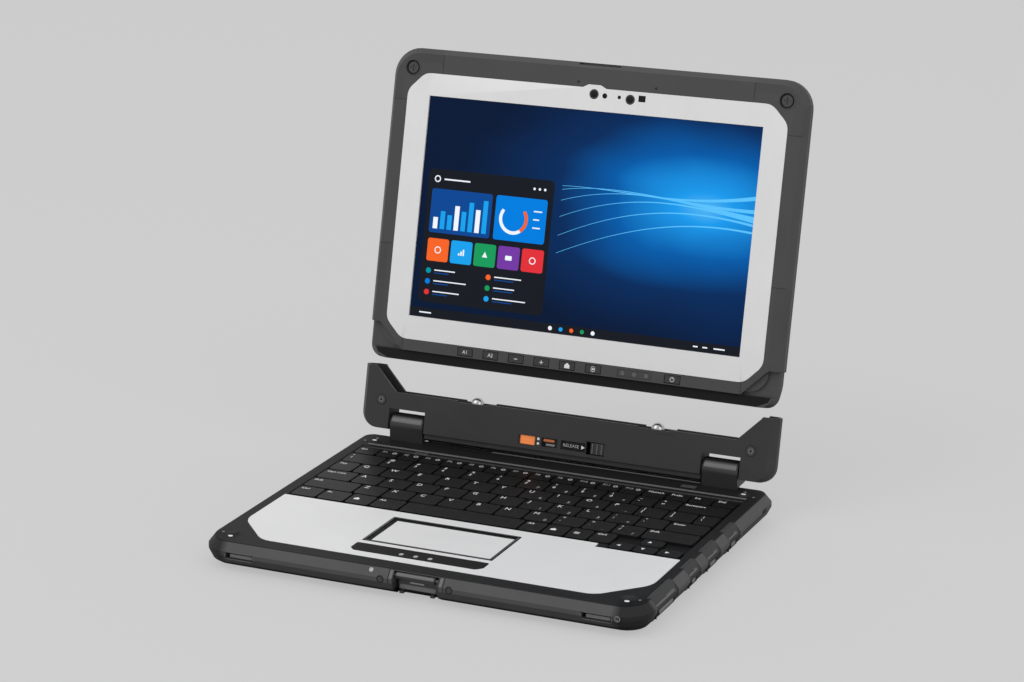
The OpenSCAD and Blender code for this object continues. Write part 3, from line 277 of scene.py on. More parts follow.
def picture_ground(name):
    """Deep blue that brightens towards a soft glow at the right of the picture."""
    material, nodes, links = new_material(name)
    shader = nodes["Principled BSDF"]
    set_inputs(shader, {"Base Color": rgba((0.002, 0.005, 0.012)), "Roughness": 0.3,
                        "Specular IOR Level": 0.03, "Emission Strength": 1.0})
    coords = add_node(nodes, "ShaderNodeTexCoord", (-1200, 0))
    mapping = add_node(nodes, "ShaderNodeMapping", (-1000, 0), Location=(-0.86, -0.62, 0))
    stretch = add_node(nodes, "ShaderNodeVectorMath", (-800, 0), operation="MULTIPLY")
    stretch.inputs[1].default_value = (1.0, 1.15, 0)
    reach = add_node(nodes, "ShaderNodeVectorMath", (-600, 0), operation="LENGTH")
    drift = add_node(nodes, "ShaderNodeTexNoise", (-800, -260), Scale=2.2, Detail=2.0)
    blend = add_node(nodes, "ShaderNodeMath", (-400, -60), operation="MULTIPLY_ADD")
    blend.inputs[1].default_value = 0.22
    ramp = add_node(nodes, "ShaderNodeValToRGB", (-200, 0))
    fill_ramp(ramp, ((0.0, (0.16, 0.62, 0.95)), (0.17, (0.01, 0.32, 0.84)), (0.36, (0.0, 0.1, 0.38)),
                     (0.56, (0.001, 0.022, 0.1)), (0.85, (0.001, 0.006, 0.028))))
    links.new(coords.outputs["Generated"], mapping.inputs["Vector"])
    links.new(mapping.outputs[0], stretch.inputs[0])
    links.new(stretch.outputs[0], reach.inputs[0])
    links.new(coords.outputs["Generated"], drift.inputs["Vector"])
    links.new(drift.outputs["Fac"], blend.inputs[0])
    links.new(reach.outputs["Value"], blend.inputs[2])
    links.new(blend.outputs[0], ramp.inputs["Fac"])
    links.new(ramp.outputs["Color"], shader.inputs["Emission Color"])
    return material


def casing_finishes(look):
    """Paint and mouldings of the base, the carrier and the tablet, with painted light and shade by height on
    the base, painted highlights on its edges and painted shade on the tablet's lower tongue.
    """
    casing, moulded, carrier = look.casing_colour[:], look.frame_colour[:], look.carrier_colour[:]
    paint = {"grain": 1500, "depth": 0.22}
    moulding = {"grain": 1700, "depth": 0.18}
    return {
        # Top cover: painted light and shade by height, the slanted belt at full colour, the upright front
        # below it at 0.85, the top shaded down to 0.14, darker towards the front corners.
        "casing": finish("Textured magnesium paint", casing, 0.56, mottle=0.06, shine=0.12,
                         bands=((SPLIT_Z, 0.85), (BELT_Z, 1.0), (TOP_Z - 0.4, 0.14)), corners=0.25, **paint),
        # Bottom case: painted shade, the casing paint at half its colour, darkest in its lowest 3.4 mm and
        # darker towards the front corners.
        "casing_shaded": finish("Textured magnesium paint, case, painted shade", share(casing, 0.5), 0.6, shine=0.15,
                             bands=((FLOOR_Z, 0.08), (FLOOR_Z + 3.4, 1.0)), corners=0.25, **paint),
        # Painted highlight: a lighter copy of the casing paint, for lit slot rims, latch collars and vent
        # lines.
        "casing_highlight": finish("Casing edge highlight", share(casing, 1.5), 0.5, depth=0.1, shine=0.3),
        "tablet_back": finish("Painted tablet back", share(casing, 0.45), 0.55, shine=0.3, **paint),
        "frame": finish("Moulded tablet frame", moulded, 0.5, mottle=0.05, shine=0.35, **moulding),
        # Painted shade: a darker copy of the frame moulding, for the recessed face of the lower tongue.
        "frame_shaded": finish("Moulded tablet frame, painted shade of the lower tongue", share(moulded, 0.18), 0.6, shine=0.12,
                             **moulding),
        "rubber": finish("Black rubber", share(moulded, 0.92), 0.55, grain=1300, depth=0.25, shine=0.35),
        "carrier": finish("Moulded carrier casing", carrier, 0.52, shine=0.3, **moulding),
        "carrier_back": finish("Painted carrier back", share(carrier, 0.8), 0.55, depth=0.2, shine=0.3),
    }


def deck_finishes(look):
    """Palm rest, screen bezel, touchpad and keyboard."""
    silver = {"grain": 2600, "mottle": 0.02, "metallic": 0.05, "spread": 0.1, "shine": 0.3}
    return {
        "silver": finish("Silver paint", look.silver_colour[:], 0.42, depth=0.05, **silver),
        "silver_trim": finish("Silver bezel paint", look.silver_colour[:], 0.4, depth=0.04, **silver),
        "pad": finish("Touchpad foil", look.pad_colour[:], 0.34, grain=3000, depth=0.03, mottle=0.015,
                      shine=0.3),
        "pad_frame": finish("Touchpad surround", grey(0.008), 0.45, grain=2200, depth=0.08, shine=0.05),
        "bar": finish("Pad button plastic", grey(0.012), 0.5, grain=2200, depth=0.08, shine=0.06),
        "key": finish("Key cap plastic", look.key_colour[:], 0.42, grain=2400, depth=0.12, mottle=0.1,
                      shine=0.1),
        "tray": finish("Keyboard tray", grey(0.006), 0.6, grain=1800, depth=0.1, shine=0.1),
    }


def rubber_and_plastic(look):
    """Port doors, feet, small mouldings, boards and the battery; also the painted highlights on ridges and
    edges, and the shadow gaps.
    """
    flag = look.flag_colour[:]
    return {
        # Port doors: painted light and shade by height, darker below the split line and lighter towards the
        # top.
        "door": finish("Port door rubber", look.rubber_colour[:], 0.68, grain=1100, depth=0.3, mottle=0.12,
                       shine=0.3, bands=((FLOOR_Z, 0.4), (SPLIT_Z, 0.8), (SPLIT_Z + 1.5, 1.8))),
        # Painted highlight: light grey for the lit ridges, edges, grip lines, latch and slot bars.
        "rib": finish("Raised rib rubber", grey(0.12), 0.5, grain=1100, depth=0.15, shine=0.3),
        "foot": finish("Foot rubber", grey(0.012), 0.75, grain=1000, depth=0.35),
        "black": finish("Black plastic", grey(0.014), 0.42, grain=1800, depth=0.12),
        "gloss": finish("Gloss black", grey(0.01), 0.12, grain=1800, depth=0.02, coat=0.4, spread=0.04),
        "orange": finish("Orange lock flag", flag, 0.45, grain=1800, depth=0.06, mottle=0.04),
        "board": finish("Circuit board", (0.01, 0.09, 0.04), 0.45, grain=500, depth=0.2, mottle=0.3),
        "battery": finish("Battery wrap", grey(0.03), 0.35, grain=400, depth=0.1),
        "seam": finish("Shadow gap", grey(0.004), 0.8, grain=900, depth=0.1),
        # Painted highlight: light grey lines on lit edges of the touchpad frame and the latch plate.
        "glint": finish("Painted edge highlight", grey(0.2), 0.35, grain=2200, mottle=0.1),
        "flag_dull": finish("Orange print", share(flag, 0.42), 0.5, grain=1800, depth=0.04),
    }


def metal_and_glass():
    """Hinges, shafts, screws, pins, lenses and the screen's glass, and the painted highlight band of the
    hinge blocks.
    """
    return {
        "hinge": finish("Hinge block casting", grey(0.028), 0.38, grain=1300, depth=0.15, metallic=0.2,
                        shine=0.4),
        # Painted highlight: a lighter band on the hinge blocks.
        "hinge_highlight": finish("Hinge block, painted highlight", grey(0.075), 0.34, grain=1300, depth=0.08, metallic=0.4),
        "steel": finish("Brushed steel", grey(0.45), 0.34, grain=900, depth=0.12, metallic=1.0,
                        stretch=(1, 14, 14)),
        "screw": finish("Blackened screw", grey(0.06), 0.36, grain=1600, depth=0.12, metallic=0.8),
        "chrome": finish("Polished pin", grey(0.42), 0.2, grain=700, depth=0.02, mottle=0.03, metallic=1.0,
                         spread=0.05),
        "lens": finish("Lens glass", grey(0.002), 0.3, grain=600, depth=0.0, coat=0.1, spread=0.02,
                       shine=0.15),
        "lens_ring": finish("Lens ring", grey(0.05), 0.25, grain=1200, depth=0.04, metallic=0.6),
        "glass": finish("Screen glass", (0.002, 0.003, 0.006), 0.08, grain=500, depth=0.0, coat=0.6,
                        spread=0.02),
    }


def inks(look):
    """Printed legends, from light to dark; the lightest and the darkest also serve as painted glints."""
    print_grain = {"grain": 2600, "depth": 0.02, "mottle": 0.03}
    return {
        # Printed legends and icons; also the painted glints on the corner bumpers.
        "print_and_glint": finish("Printed legend and painted glint", look.legend_colour[:], 0.5, shine=0.2, **print_grain),
        "mark_mid": finish("Printed legend and painted glint, light grey", grey(0.36), 0.5, **print_grain),
        # Grey print; also the faint painted glints beside the bumpers and on the carrier's cap screws.
        "grey_print_and_glint": finish("Printed legend and painted glint, grey", grey(0.16), 0.5, **print_grain),
    }


# Colours of the lit pixels: finish, name in the material, linear colour
PIXELS = (
    ("pixel_blue", "blue", (0.0, 0.19, 0.68)),
    ("pixel_deep", "deep blue", (0.004, 0.06, 0.27)),
    ("pixel_sky", "sky blue", (0.01, 0.33, 0.78)),
    ("pixel_teal", "teal", (0.0, 0.28, 0.36)),
    ("pixel_green", "green", (0.01, 0.3, 0.1)),
    ("pixel_orange", "orange", (0.85, 0.12, 0.02)),
    ("pixel_red", "red", (0.7, 0.03, 0.04)),
    ("pixel_purple", "purple", (0.16, 0.04, 0.34)),
    ("pixel_white", "white", (0.8, 0.85, 0.9)),
    ("pixel_beam", "light bands", (0.1, 0.5, 0.9)),
)


def lit_finishes():
    """The screen's picture: ground, menu sheet and pixels."""
    lit = {finish_name: glow(f"Pixels, {hue}", colour) for finish_name, hue, colour in PIXELS}
    lit["picture_ground"] = picture_ground("Picture ground")
    lit["picture_sheet"] = glow("Menu sheet", (0.009, 0.011, 0.016))
    return lit


def all_materials(look):
    """Every finish of the laptop, by name."""
    return {**casing_finishes(look), **deck_finishes(look), **rubber_and_plastic(look), **metal_and_glass(),
            **inks(look), **lit_finishes()}


DOORS = (1, 2, 3, 4)
KEY_ROWS = ("control", "lower", "middle", "upper", "number", "function")
BUTTON_X = {"a1": -68, "a2": -51, "minus": -34, "plus": -17, "home": 0, "rotate": 17, "power": 68}

# The solids that each finish is for
FINISH_OF = {
    "casing": ("top_cover",),
    "casing_shaded": ("bottom_case",),
    "frame": ("tablet_frame",),
    "carrier": ("carrier_front",),
    "carrier_back": ("carrier_rear",),
    "tablet_back": ("tablet_rear_cover",),
    "silver": ("palm_rest",),
    "silver_trim": ("screen_bezel",),
    "pad": ("touchpad",),
    "pad_frame": ("touchpad_frame",),
    "bar": ("button_bar",),
    "key": [f"keys_{row}_row" for row in KEY_ROWS],
    "tray": ("keyboard_tray",),
    "hinge": ("hinge_blocks",),
    "rubber": ("corner_guards",),
    "door": [f"port_door_{number}" for number in DOORS],
    "gloss": ("status_window",),
    "seam": ("corner_bumpers",),
    "foot": ("rubber_feet",),
    "steel": ("base_ports", "latch_bar", "hinge_shafts"),
    "screw": ("latch_pin", "base_screws", "carrier_screws", "tablet_screws"),
    "chrome": ("guide_pins",),
    "board": ("base_board", "tablet_board", "camera_board"),
    "black": ["front_latch", "release_slider", "dock_connector", "dock_socket"]
             + [f"button_{name}" for name in BUTTON_X],
    "orange": ("lock_indicator",),
    "glass": ("display_glass", "display_panel"),
    "lens": ("camera_lenses",),
    "battery": ("tablet_battery",),
}

# Edge rounding of a solid; solids not named have the usual one
SOFT_EDGE = {"palm_rest": 0.25, "screen_bezel": 0.06, "display_glass": 0.1, "camera_lenses": 0.1,
             "base_board": 0.1, "top_cover": 0.45, "bottom_case": 0.5, "tablet_frame": 0.45,
             "tablet_rear_cover": 0.6, "carrier_front": 0.35, "carrier_rear": 0.45, "hinge_blocks": 0.5,
             "corner_guards": 0.5}
USUAL_EDGE = 0.3
SMALL_EDGE = 0.12  # the same for raised trim
WELD_REACH = 0.02  # points closer than this are joined before the edges are rounded
SHARP_ANGLE = math.radians(32)  # edges that turn by less stay as they are
PAINT = {}  # the materials by finish, made with the first piece


# ---- Mesh tools: a span is a lower and an upper value in millimetres of one working frame ----


def circle(centre, radius, z, sides):
    """Points round a circle."""
    return [(centre[0] + radius * math.cos(a), centre[1] + radius * math.sin(a), z)
            for a in (math.tau * i / sides for i in range(sides))]


def arc(centre, radius, degrees):
    """Points in X and Y on a circle, at the given angles."""
    return [(centre[0] + radius * math.cos(a), centre[1] + radius * math.sin(a))
            for a in map(math.radians, degrees)]


def round_outline(centre, size, radius, steps=5):
    """Rectangle with rounded corners, as points in X and Y."""
    (cx, cy), (w, h) = centre, size
    points = []
    for sx, sy, start in ((1, 1, 0), (-1, 1, 90), (-1, -1, 180), (1, -1, 270)):
        middle = (cx + sx * (w / 2 - radius), cy + sy * (h / 2 - radius))
        points += arc(middle, radius, [start + 90 * i / steps for i in range(steps + 1)])
    return points


def arrow_head(centre, size, direction):
    """Triangle that points along direction, in degrees from +X."""
    return arc(centre, size, [direction + turn for turn in (0, 125, -125)])


def cross_outline(centre, reach, half):
    """Plus sign with arms that reach so far and are twice half wide."""
    points, corner = [], [(-reach, -half), (-half, -half), (-half, -reach)]
    for _ in range(4):
        points += [(centre[0] + x, centre[1] + y) for x, y in corner]
        corner = [(-y, x) for x, y in corner]
    return points


def about(middle, half):
    """Span with a middle and half a width."""
    return middle - half, middle + half


class Shape:
    """Faces gathered in one mesh; each takes the finish that is set when it is added."""

    def __init__(self, finish_name):
        self.mesh = bmesh.new()
        self.finishes = [finish_name]
        self.current = 0

    def paint(self, finish_name):
        if finish_name not in self.finishes:
            self.finishes.append(finish_name)
        self.current = self.finishes.index(finish_name)
        return self

    def row(self, points):
        return [self.mesh.verts.new(point) for point in points]

    def face(self, corners):
        self.mesh.faces.new(corners).material_index = self.current

    def wall(self, lower, upper):
        """Faces between two closed rows of vertices."""
        for i in range(len(lower)):
            j = (i + 1) % len(lower)
            self.face((lower[i], lower[j], upper[j], upper[i]))

    def prism(self, bottom, top):
        self.face(bottom[::-1])
        self.face(top)
        self.wall(bottom, top)
        return self

    def solid(self, outline, heights):
        """Prism over an outline in X and Y."""
        return self.prism(*[self.row([(x, y, z) for x, y in outline]) for z in heights])

    def block(self, across, along, heights):
        """Box over a span in X and a span in Y."""
        (x0, x1), (y0, y1) = across, along
        return self.solid([(x0, y0), (x1, y0), (x1, y1), (x0, y1)], heights)

    def rounded(self, centre, size, radius, heights, steps=5):
        return self.solid(round_outline(centre, size, radius, steps), heights)

    def disc(self, centre, radius, heights, top_radius=None, sides=28):
        """Upright cylinder, or a cone frustum with top_radius."""
        radii = (radius, radius if top_radius is None else top_radius)
        return self.prism(*[self.row(circle(centre, r, z, sides)) for r, z in zip(radii, heights)])

    def ring(self, centre, outer, inner, heights, sides=32):
        """Flat ring of square section."""
        low, high = heights
        section = ((outer, low), (outer, high), (inner, high), (inner, low))
        rows = [self.row(circle(centre, r, z, sides)) for r, z in section]
        for lower, upper in zip(rows, rows[1:] + rows[:1]):
            self.wall(lower, upper)
        return self

    def strip(self, points, width, heights):
        """Line of a set width along points in X and Y."""
        for a, b in zip(map(Vector, points), map(Vector, points[1:])):
            along = (b - a).normalized()
            side = Vector((-along.y, along.x)) * width / 2
            a, b = a - along * width / 2, b + along * width / 2
            self.solid([a - side, b - side, b + side, a + side], heights)
        return self

    def border(self, centre, size, radius, width, heights, steps=4):
        """Line of a set width round a rectangle with rounded corners."""
        points = round_outline(centre, size, radius, steps)
        return self.strip(points + points[:1], width, heights)

    def slots(self, count, pitch, first, size, radius, heights):
        """Row of upright cooling slots; first is the middle of the one with the lowest X."""
        for i in range(count):
            self.rounded((first[0] + pitch * i, first[1]), size, radius, heights, steps=3)
        return self

    def screw_head(self, centre, radius, face, proud, slot, cross=False):
        """Low screw head with a dark slot or cross; slot is half its length and half its width."""
        x, y = centre
        length, width = slot
        slot_heights = (face, face + proud + 0.05)
        self.paint("screw").disc(centre, radius, on(face, proud), radius - 0.2)
        self.paint("seam").block(about(x, length), about(y, width), slot_heights)
        if cross:
            self.block(about(x, width), about(y, length), slot_heights)
        return self

    def curved_band(self, across, axis, radius, degrees):
        """Strip round an axis along X, which is given by its Y and Z; the degrees count up from the front."""
        lines = [self.row([(x, axis[0] - radius * math.cos(a), axis[1] + radius * math.sin(a))
                           for a in map(math.radians, degrees)]) for x in across]
        for i in range(len(degrees) - 1):
            self.face((lines[0][i], lines[1][i], lines[1][i + 1], lines[0][i + 1]))
        return self

    def words(self, text, size, place, lift, stretch=1.0, align="CENTER"):
        """Lettering that stands lift above z in place."""
        curve = bpy.data.curves.new("lettering", "FONT")
        curve.body, curve.size = text, size
        curve.align_x, curve.align_y = align, "CENTER"
        curve.resolution_u = 2
        curve.extrude = lift / 2
        holder = bpy.data.objects.new("lettering", curve)
        mesh = bpy.data.meshes.new_from_object(holder)
        x, y, z = place
        mesh.transform(Matrix.Translation((x, y, z + lift / 2)) @ Matrix.Diagonal((stretch, 1, 1, 1)))
        for polygon in mesh.polygons:
            polygon.material_index = self.current
        self.mesh.from_mesh(mesh)
        bpy.data.objects.remove(holder)
        bpy.data.curves.remove(curve)
        bpy.data.meshes.remove(mesh)
        return self

    def made(self, name, place, body, edge=0.0, smooth=False):
        """Makes the piece: place is the working frame's matrix, and body what it moves with."""
        bmesh.ops.recalc_face_normals(self.mesh, faces=self.mesh.faces)
        self.mesh.transform(place)
        data = bpy.data.meshes.new(name)
        self.mesh.to_mesh(data)
        self.mesh.free()
        if smooth:
            for polygon in data.polygons:
                polygon.use_smooth = True
        piece = bpy.data.objects.new(name, data)
        bpy.context.scene.collection.objects.link(piece)
        for key in self.finishes:
            data.materials.append(PAINT[key])
        if edge:
            soften(piece, edge)
        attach(piece, body)
        return piece


def soften(piece, width):
    """Rounds the hard edges of a piece and shades it smoothly across flat faces."""
    weld = piece.modifiers.new("Weld", "WELD")
    weld.merge_threshold = WELD_REACH * MM
    bevel = piece.modifiers.new("Soft edges", "BEVEL")
    bevel.width = width * MM
    bevel.segments = 2
    bevel.limit_method = "ANGLE"
    bevel.angle_limit = SHARP_ANGLE
    bevel.use_clamp_overlap = True
    bevel.harden_normals = True


# ---- Settings ----


def colour_prop(name, description, default):
    return bpy.props.FloatVectorProperty(name=name, description=description, default=default, subtype="COLOR",
                                         size=3, min=0.0, max=1.0)


def number_prop(name, description, default, **limits):
    return bpy.props.FloatProperty(name=name, description=description, default=default, **limits)


def angle_prop(name, description, degrees):
    return number_prop(name, description, math.radians(degrees), subtype="ANGLE")


class LaptopLook(bpy.types.PropertyGroup):
    """Colours of the laptop, linear."""

    casing_colour: colour_prop("Casing", "Paint of the base and the backs", (0.075, 0.075, 0.076))
    frame_colour: colour_prop("Frame", "Tablet frame and corner guards", (0.046, 0.046, 0.047))
    carrier_colour: colour_prop("Carrier", "Moulded casing of the docking carrier", (0.026, 0.026, 0.0265))
    silver_colour: colour_prop("Silver", "Palm rest and screen bezel", (0.66, 0.66, 0.66))
    pad_colour: colour_prop("Touchpad", "Foil of the touchpad", (0.65, 0.65, 0.65))
    key_colour: colour_prop("Keys", "Key caps", (0.008, 0.008, 0.0081))
    rubber_colour: colour_prop("Rubber", "Port doors", (0.02, 0.02, 0.0204))
    # Also the colour of the painted glints on the corner bumpers.
    legend_colour: colour_prop("Legends", "Printed letters and icons", (0.7, 0.7, 0.7))
    flag_colour: colour_prop("Lock flag", "Flag that shows the dock is unlocked", (1.0, 0.27, 0.06))


class StudioSetup(bpy.types.PropertyGroup):
    """Camera, lamps and ground."""

    lens: number_prop("Lens", "Focal length on a 36 mm sensor", 104.33, min=20, max=400, unit="CAMERA")
    place: bpy.props.FloatVectorProperty(name="Camera place", description="Where the camera stands",
                                         default=(0.6826, -1.45527, 0.61278), subtype="TRANSLATION",
                                         unit="LENGTH")
    yaw: angle_prop("Yaw", "Turn of the camera about the laptop", 24.714)
    pitch: angle_prop("Pitch", "Downward tilt of the camera", 17.003)
    roll: angle_prop("Roll", "Roll of the camera", -0.284)
    key_power: number_prop("Key lamp", "Power of the large lamp", 11.8, min=0, unit="POWER")
    fill_power: number_prop("Fill lamp", "Power of the side lamp", 5.6, min=0, unit="POWER")
    sky: number_prop("Sky", "Strength of the even light all round", 0.88, min=0)
    ground_colour: colour_prop("Ground", "Floor and backdrop", (0.604, 0.604, 0.604))


# ---- Key caps, read from the solids ----

SAME_POINT = 0.00001  # vertices of a solid that are closer than this are one, in metres


def islands(node):
    """Boxes of the separate solids of a node, in millimetres, as (low, high) corners."""
    mesh = bmesh.new()
    mesh.from_mesh(NODES[node].data)
    bmesh.ops.remove_doubles(mesh, verts=mesh.verts, dist=SAME_POINT)
    left, found = set(mesh.verts), []
    while left:
        queue, members = [left.pop()], []
        while queue:
            vert = queue.pop()
            members.append(vert.co / MM)
            for edge in vert.link_edges:
                other = edge.other_vert(vert)
                if other in left:
                    left.remove(other)
                    queue.append(other)
        found.append(tuple(Vector([end(p[i] for p in members) for i in range(3)]) for end in (min, max)))
    mesh.free()
    return sorted(found, key=lambda b: (round(b[0].x), b[0].y))


def plain(words):
    """Legends of keys that carry one word each."""
    return [(word,) for word in words.split()]


# Each key: main legend, the legend above it, and the grey legend for the number pad
ROW_LEGENDS = {
    "function": plain("Esc F1 F2 F3 F4 F5 F6 F7 F8 F9 F10 F11 F12 NumLk PrtSc Ins Del"),
    "number": [("1", "!"), ("2", "@"), ("3", "#"), ("4", "$"), ("5", "%"), ("6", "^"), ("7", "&", "7"),
               ("8", "*", "8"), ("9", "(", "9"), ("0", ")", "*"), ("-", "_"), ("=", "+"), ("Backspace",)],
    "upper": plain("Tab Q W E R T Y") + [("U", "", "4"), ("I", "", "5"), ("O", "", "6"), ("P", "", "-"),
                                         ("[", "{"), ("]", "}"), ("\\", "|")],
    "middle": [("Caps Lock",)] + plain("A S D F G H") + [("J", "", "1"), ("K", "", "2"), ("L", "", "3"),
                                                          (";", ":", "+"), ("'", '"'), ("Enter",)],
    "lower": plain("Shift Z X C V B N") + [("M", "", "0"), (",", "<"), (".", ">", "."), ("/", "?", "/"),
                                           ("Shift",)],
    "control": plain("Ctrl Fn HOME Alt") + [("",)] + plain("Alt HOME MENU Ctrl LEFT DOWN UP RIGHT"),
}
ARROW_TURN = {"RIGHT": 0, "UP": 90, "LEFT": 180, "DOWN": 270}  # degrees
LEGEND_LIFT = 0.07
LETTER_SIZE = 4.8
WORD_SIZE = 3.3
LONG_WORD_SIZE = 3.0  # for words of six letters or more
SHIFTED_SIZE = 3.4  # sign above another one
UNSHIFTED_SIZE = 3.9
PAD_SIGN_SIZE = 4.0


def add_icon(shape, word, x, y, heights):
    """Generic key signs: a house for home, a list for the menu, and arrow heads."""
    if word == "HOME":
        walls, floor, eaves, ridge = 1.7, -1.5, 0.3, 1.8
        shape.solid([(x - walls, y + floor), (x + walls, y + floor), (x + walls, y + eaves), (x, y + ridge),
                     (x - walls, y + eaves)], heights)
    elif word == "MENU":
        for step in (-1, 0, 1):
            shape.block(about(x, 1.6), about(y + step * 1.1, 0.22), heights)
    else:
        shape.solid(arrow_head((x, y), 1.5, ARROW_TURN[word]), heights)


def add_key_legend(shape, legend, low, high):
    """Prints one key: words at its rear left corner, the number pad's sign in grey at its front right one."""
    word = legend[0]
    left, rear, z = low.x + 2.2, high.y - 3.2, high.z
    heights = (z, z + LEGEND_LIFT)
    shape.paint("print_and_glint")
    if word in ("HOME", "MENU") or word in ARROW_TURN:
        add_icon(shape, word, low.x + 4.6, (low.y + high.y) / 2 + 0.6, heights)
        return
    if word[:1] == "F" and word[1:].isdigit():
        shape.paint("mark_mid").ring((left + 7.6, rear - 0.4), 1.5, 0.7, heights, sides=16)
    shifted = legend[1] if len(legend) > 1 else ""
    if len(word) > 1:
        lines = [(word, WORD_SIZE if len(word) < 6 else LONG_WORD_SIZE, left - 0.6, rear)]
    elif shifted:
        lines = [(shifted, SHIFTED_SIZE, left, rear + 0.3), (word, UNSHIFTED_SIZE, left, rear - 4.0)]
    else:
        lines = [(word, LETTER_SIZE, left, rear)] if word else []
    for text, size, x, y in lines:
        shape.words(text, size, (x, y, z), LEGEND_LIFT, align="LEFT")
    if len(legend) > 2:
        shape.paint("mark_mid")
        shape.words(legend[2], PAD_SIGN_SIZE, (high.x - 5.2, low.y + 3.4, z), LEGEND_LIFT, align="LEFT")


# ---- Operators ----


class LaptopPiece:
    """What all the piece operators share."""

    bl_options = {"REGISTER", "UNDO"}


class LAPTOP_OT_solids(LaptopPiece, bpy.types.Operator):
    """Give every solid its finish and soft edges"""

    bl_idname = "laptop.solids"
    bl_label = "Finish the solids"

    def execute(self, context):
        PAINT.update(all_materials(context.scene.laptop_look))
        for key, names in FINISH_OF.items():
            for name in names:
                solid = NODES[name]
                solid.data.materials.clear()
                solid.data.materials.append(PAINT[key])
                soften(solid, SOFT_EDGE.get(name, USUAL_EDGE))
        return {"FINISHED"}


class LAPTOP_OT_keys(LaptopPiece, bpy.types.Operator):
    """Print the legends of each key row"""

    bl_idname = "laptop.keys"
    bl_label = "Key legends"

    def execute(self, context):
        for row, legends in ROW_LEGENDS.items():
            caps = islands(f"keys_{row}_row")
            if len(caps) != len(legends):
                raise RuntimeError(f"{row} row has {len(caps)} caps and {len(legends)} legends")
            shape = Shape("print_and_glint")
            for legend, (low, high) in zip(legends, caps):
                add_key_legend(shape, legend, low, high)
            shape.made(f"legends_{row}", BASE, f"{row}_keys")
        return {"FINISHED"}


class LAPTOP_OT_base_top(LaptopPiece, bpy.types.Operator):
    """Add the trim of the base's top: painted highlights on the keyboard ridge and the rear lip, lighter vent
    lines, painted bumper glints and pad marks
    """

    bl_idname = "laptop.base_top"
    bl_label = "Base top trim"

    def execute(self, context):
        self.rear_edge()
        self.bumpers()
        self.pad()
        return {"FINISHED"}

    def rear_edge(self):
        """Painted highlights along the ridge behind the keyboard and along the rear lip, and two patches of
        lighter lines for two small vents.
        """
        ridge_y, ridge_width = box_mm("keyboard_tray")[1].y + 0.1, 2.0
        ridge = Shape("rib")
        ridge.block((-123, 125), (ridge_y, ridge_y + ridge_width), on(TOP_Z, 0.25))
        ridge.made("keyboard_ridge_highlight", BASE, "base", edge=SMALL_EDGE)

        corner = box_mm("top_cover")[1]
        lip = Shape("rib")
        lip_end = 91
        lip.block((-lip_end, lip_end), (corner.y - 3.0, corner.y - 1.4), (TOP_Z - 1.5, TOP_Z + 0.05))
        lip.block((-45, lip_end), (corner.y - 8.3, corner.y - 7.9), (corner.z - 0.5, corner.z + 0.01))
        lip.made("rear_lip_highlight", BASE, "base")

        marks = Shape("casing_highlight")
        pitch, half_length, half_width = 1.1, 4.6, 0.2
        for x, y in ((-84.5, 76.1), (86.2, 87.6)):
            for i in range(4):
                marks.block(about(x, half_length), about(y + i * pitch, half_width), (TOP_Z, TOP_Z + SKIN))
        marks.made("rear_strip_marks", BASE, "base")

    def bumpers(self):
        """Painted glints on the four corner bumpers, with fainter painted glints beside them; the front ones
        stand in a ring of painted shade.
        """
        glints = Shape("print_and_glint")
        low, high = box_mm("corner_bumpers")
        inset = 3.6  # from the bumper's outer edges to its middle
        for x in (low.x + inset, high.x - inset):
            for y in (low.y + inset, high.y - inset):
                glints.paint("print_and_glint")
                if y < 0:
                    glints.rounded((x + 0.6, y - 4.7), (2.8, 2.2), 1.0, on(TOP_Z, 0.1))
                    glints.paint("seam").ring((x, y), 4.6, 3.8, on(TOP_Z))
                else:
                    glints.rounded((x, y), (2.9, 2.0), 0.9, (high.z - 0.05, high.z + 0.02))
                    glints.paint("grey_print_and_glint").disc((x - 1.1, y + 6.0), 1.0, on(TOP_Z), sides=14)
                outward = x + math.copysign(6.4, x)
                glints.paint("grey_print_and_glint").disc((outward, y - 0.5), 0.8, on(TOP_Z), sides=14)
        glints.made("bumper_glints", BASE, "base")

    def pad(self):
        """Dark border at two sides of the touchpad, marks on its buttons, and a painted highlight line round
        both.
        """
        low, high = box_mm("touchpad")
        gap, broad = 0.1, 2.2
        border = Shape("pad_frame")
        border.block((low.x + gap, low.x + gap + broad), (low.y + gap, high.y - gap), on(high.z))
        border.block((low.x + gap + broad, high.x - gap), (high.y - 2.5, high.y - gap), on(high.z))
        border.made("pad_border", BASE, "base")

        low, high = box_mm("button_bar")
        bar = Shape("mark_mid")
        for x in (-18.8, -9.9, -1.0):
            bar.rounded((x, (low.y + high.y) / 2 - 1.9), (2.6, 3.0), 1.2, (high.z, high.z + SKIN))
        bar.made("pad_button_marks", BASE, "pad_buttons")

        low, high = box_mm("touchpad_frame")
        middle, size = (low + high) / 2, high - low
        rim = Shape("glint")
        rim.border(middle.xy, (size.x - 8, size.y - 3.5), 1.4, 0.25, (high.z - 0.05, high.z + 0.04))
        rim.made("touchpad_rim_highlight", BASE, "base")


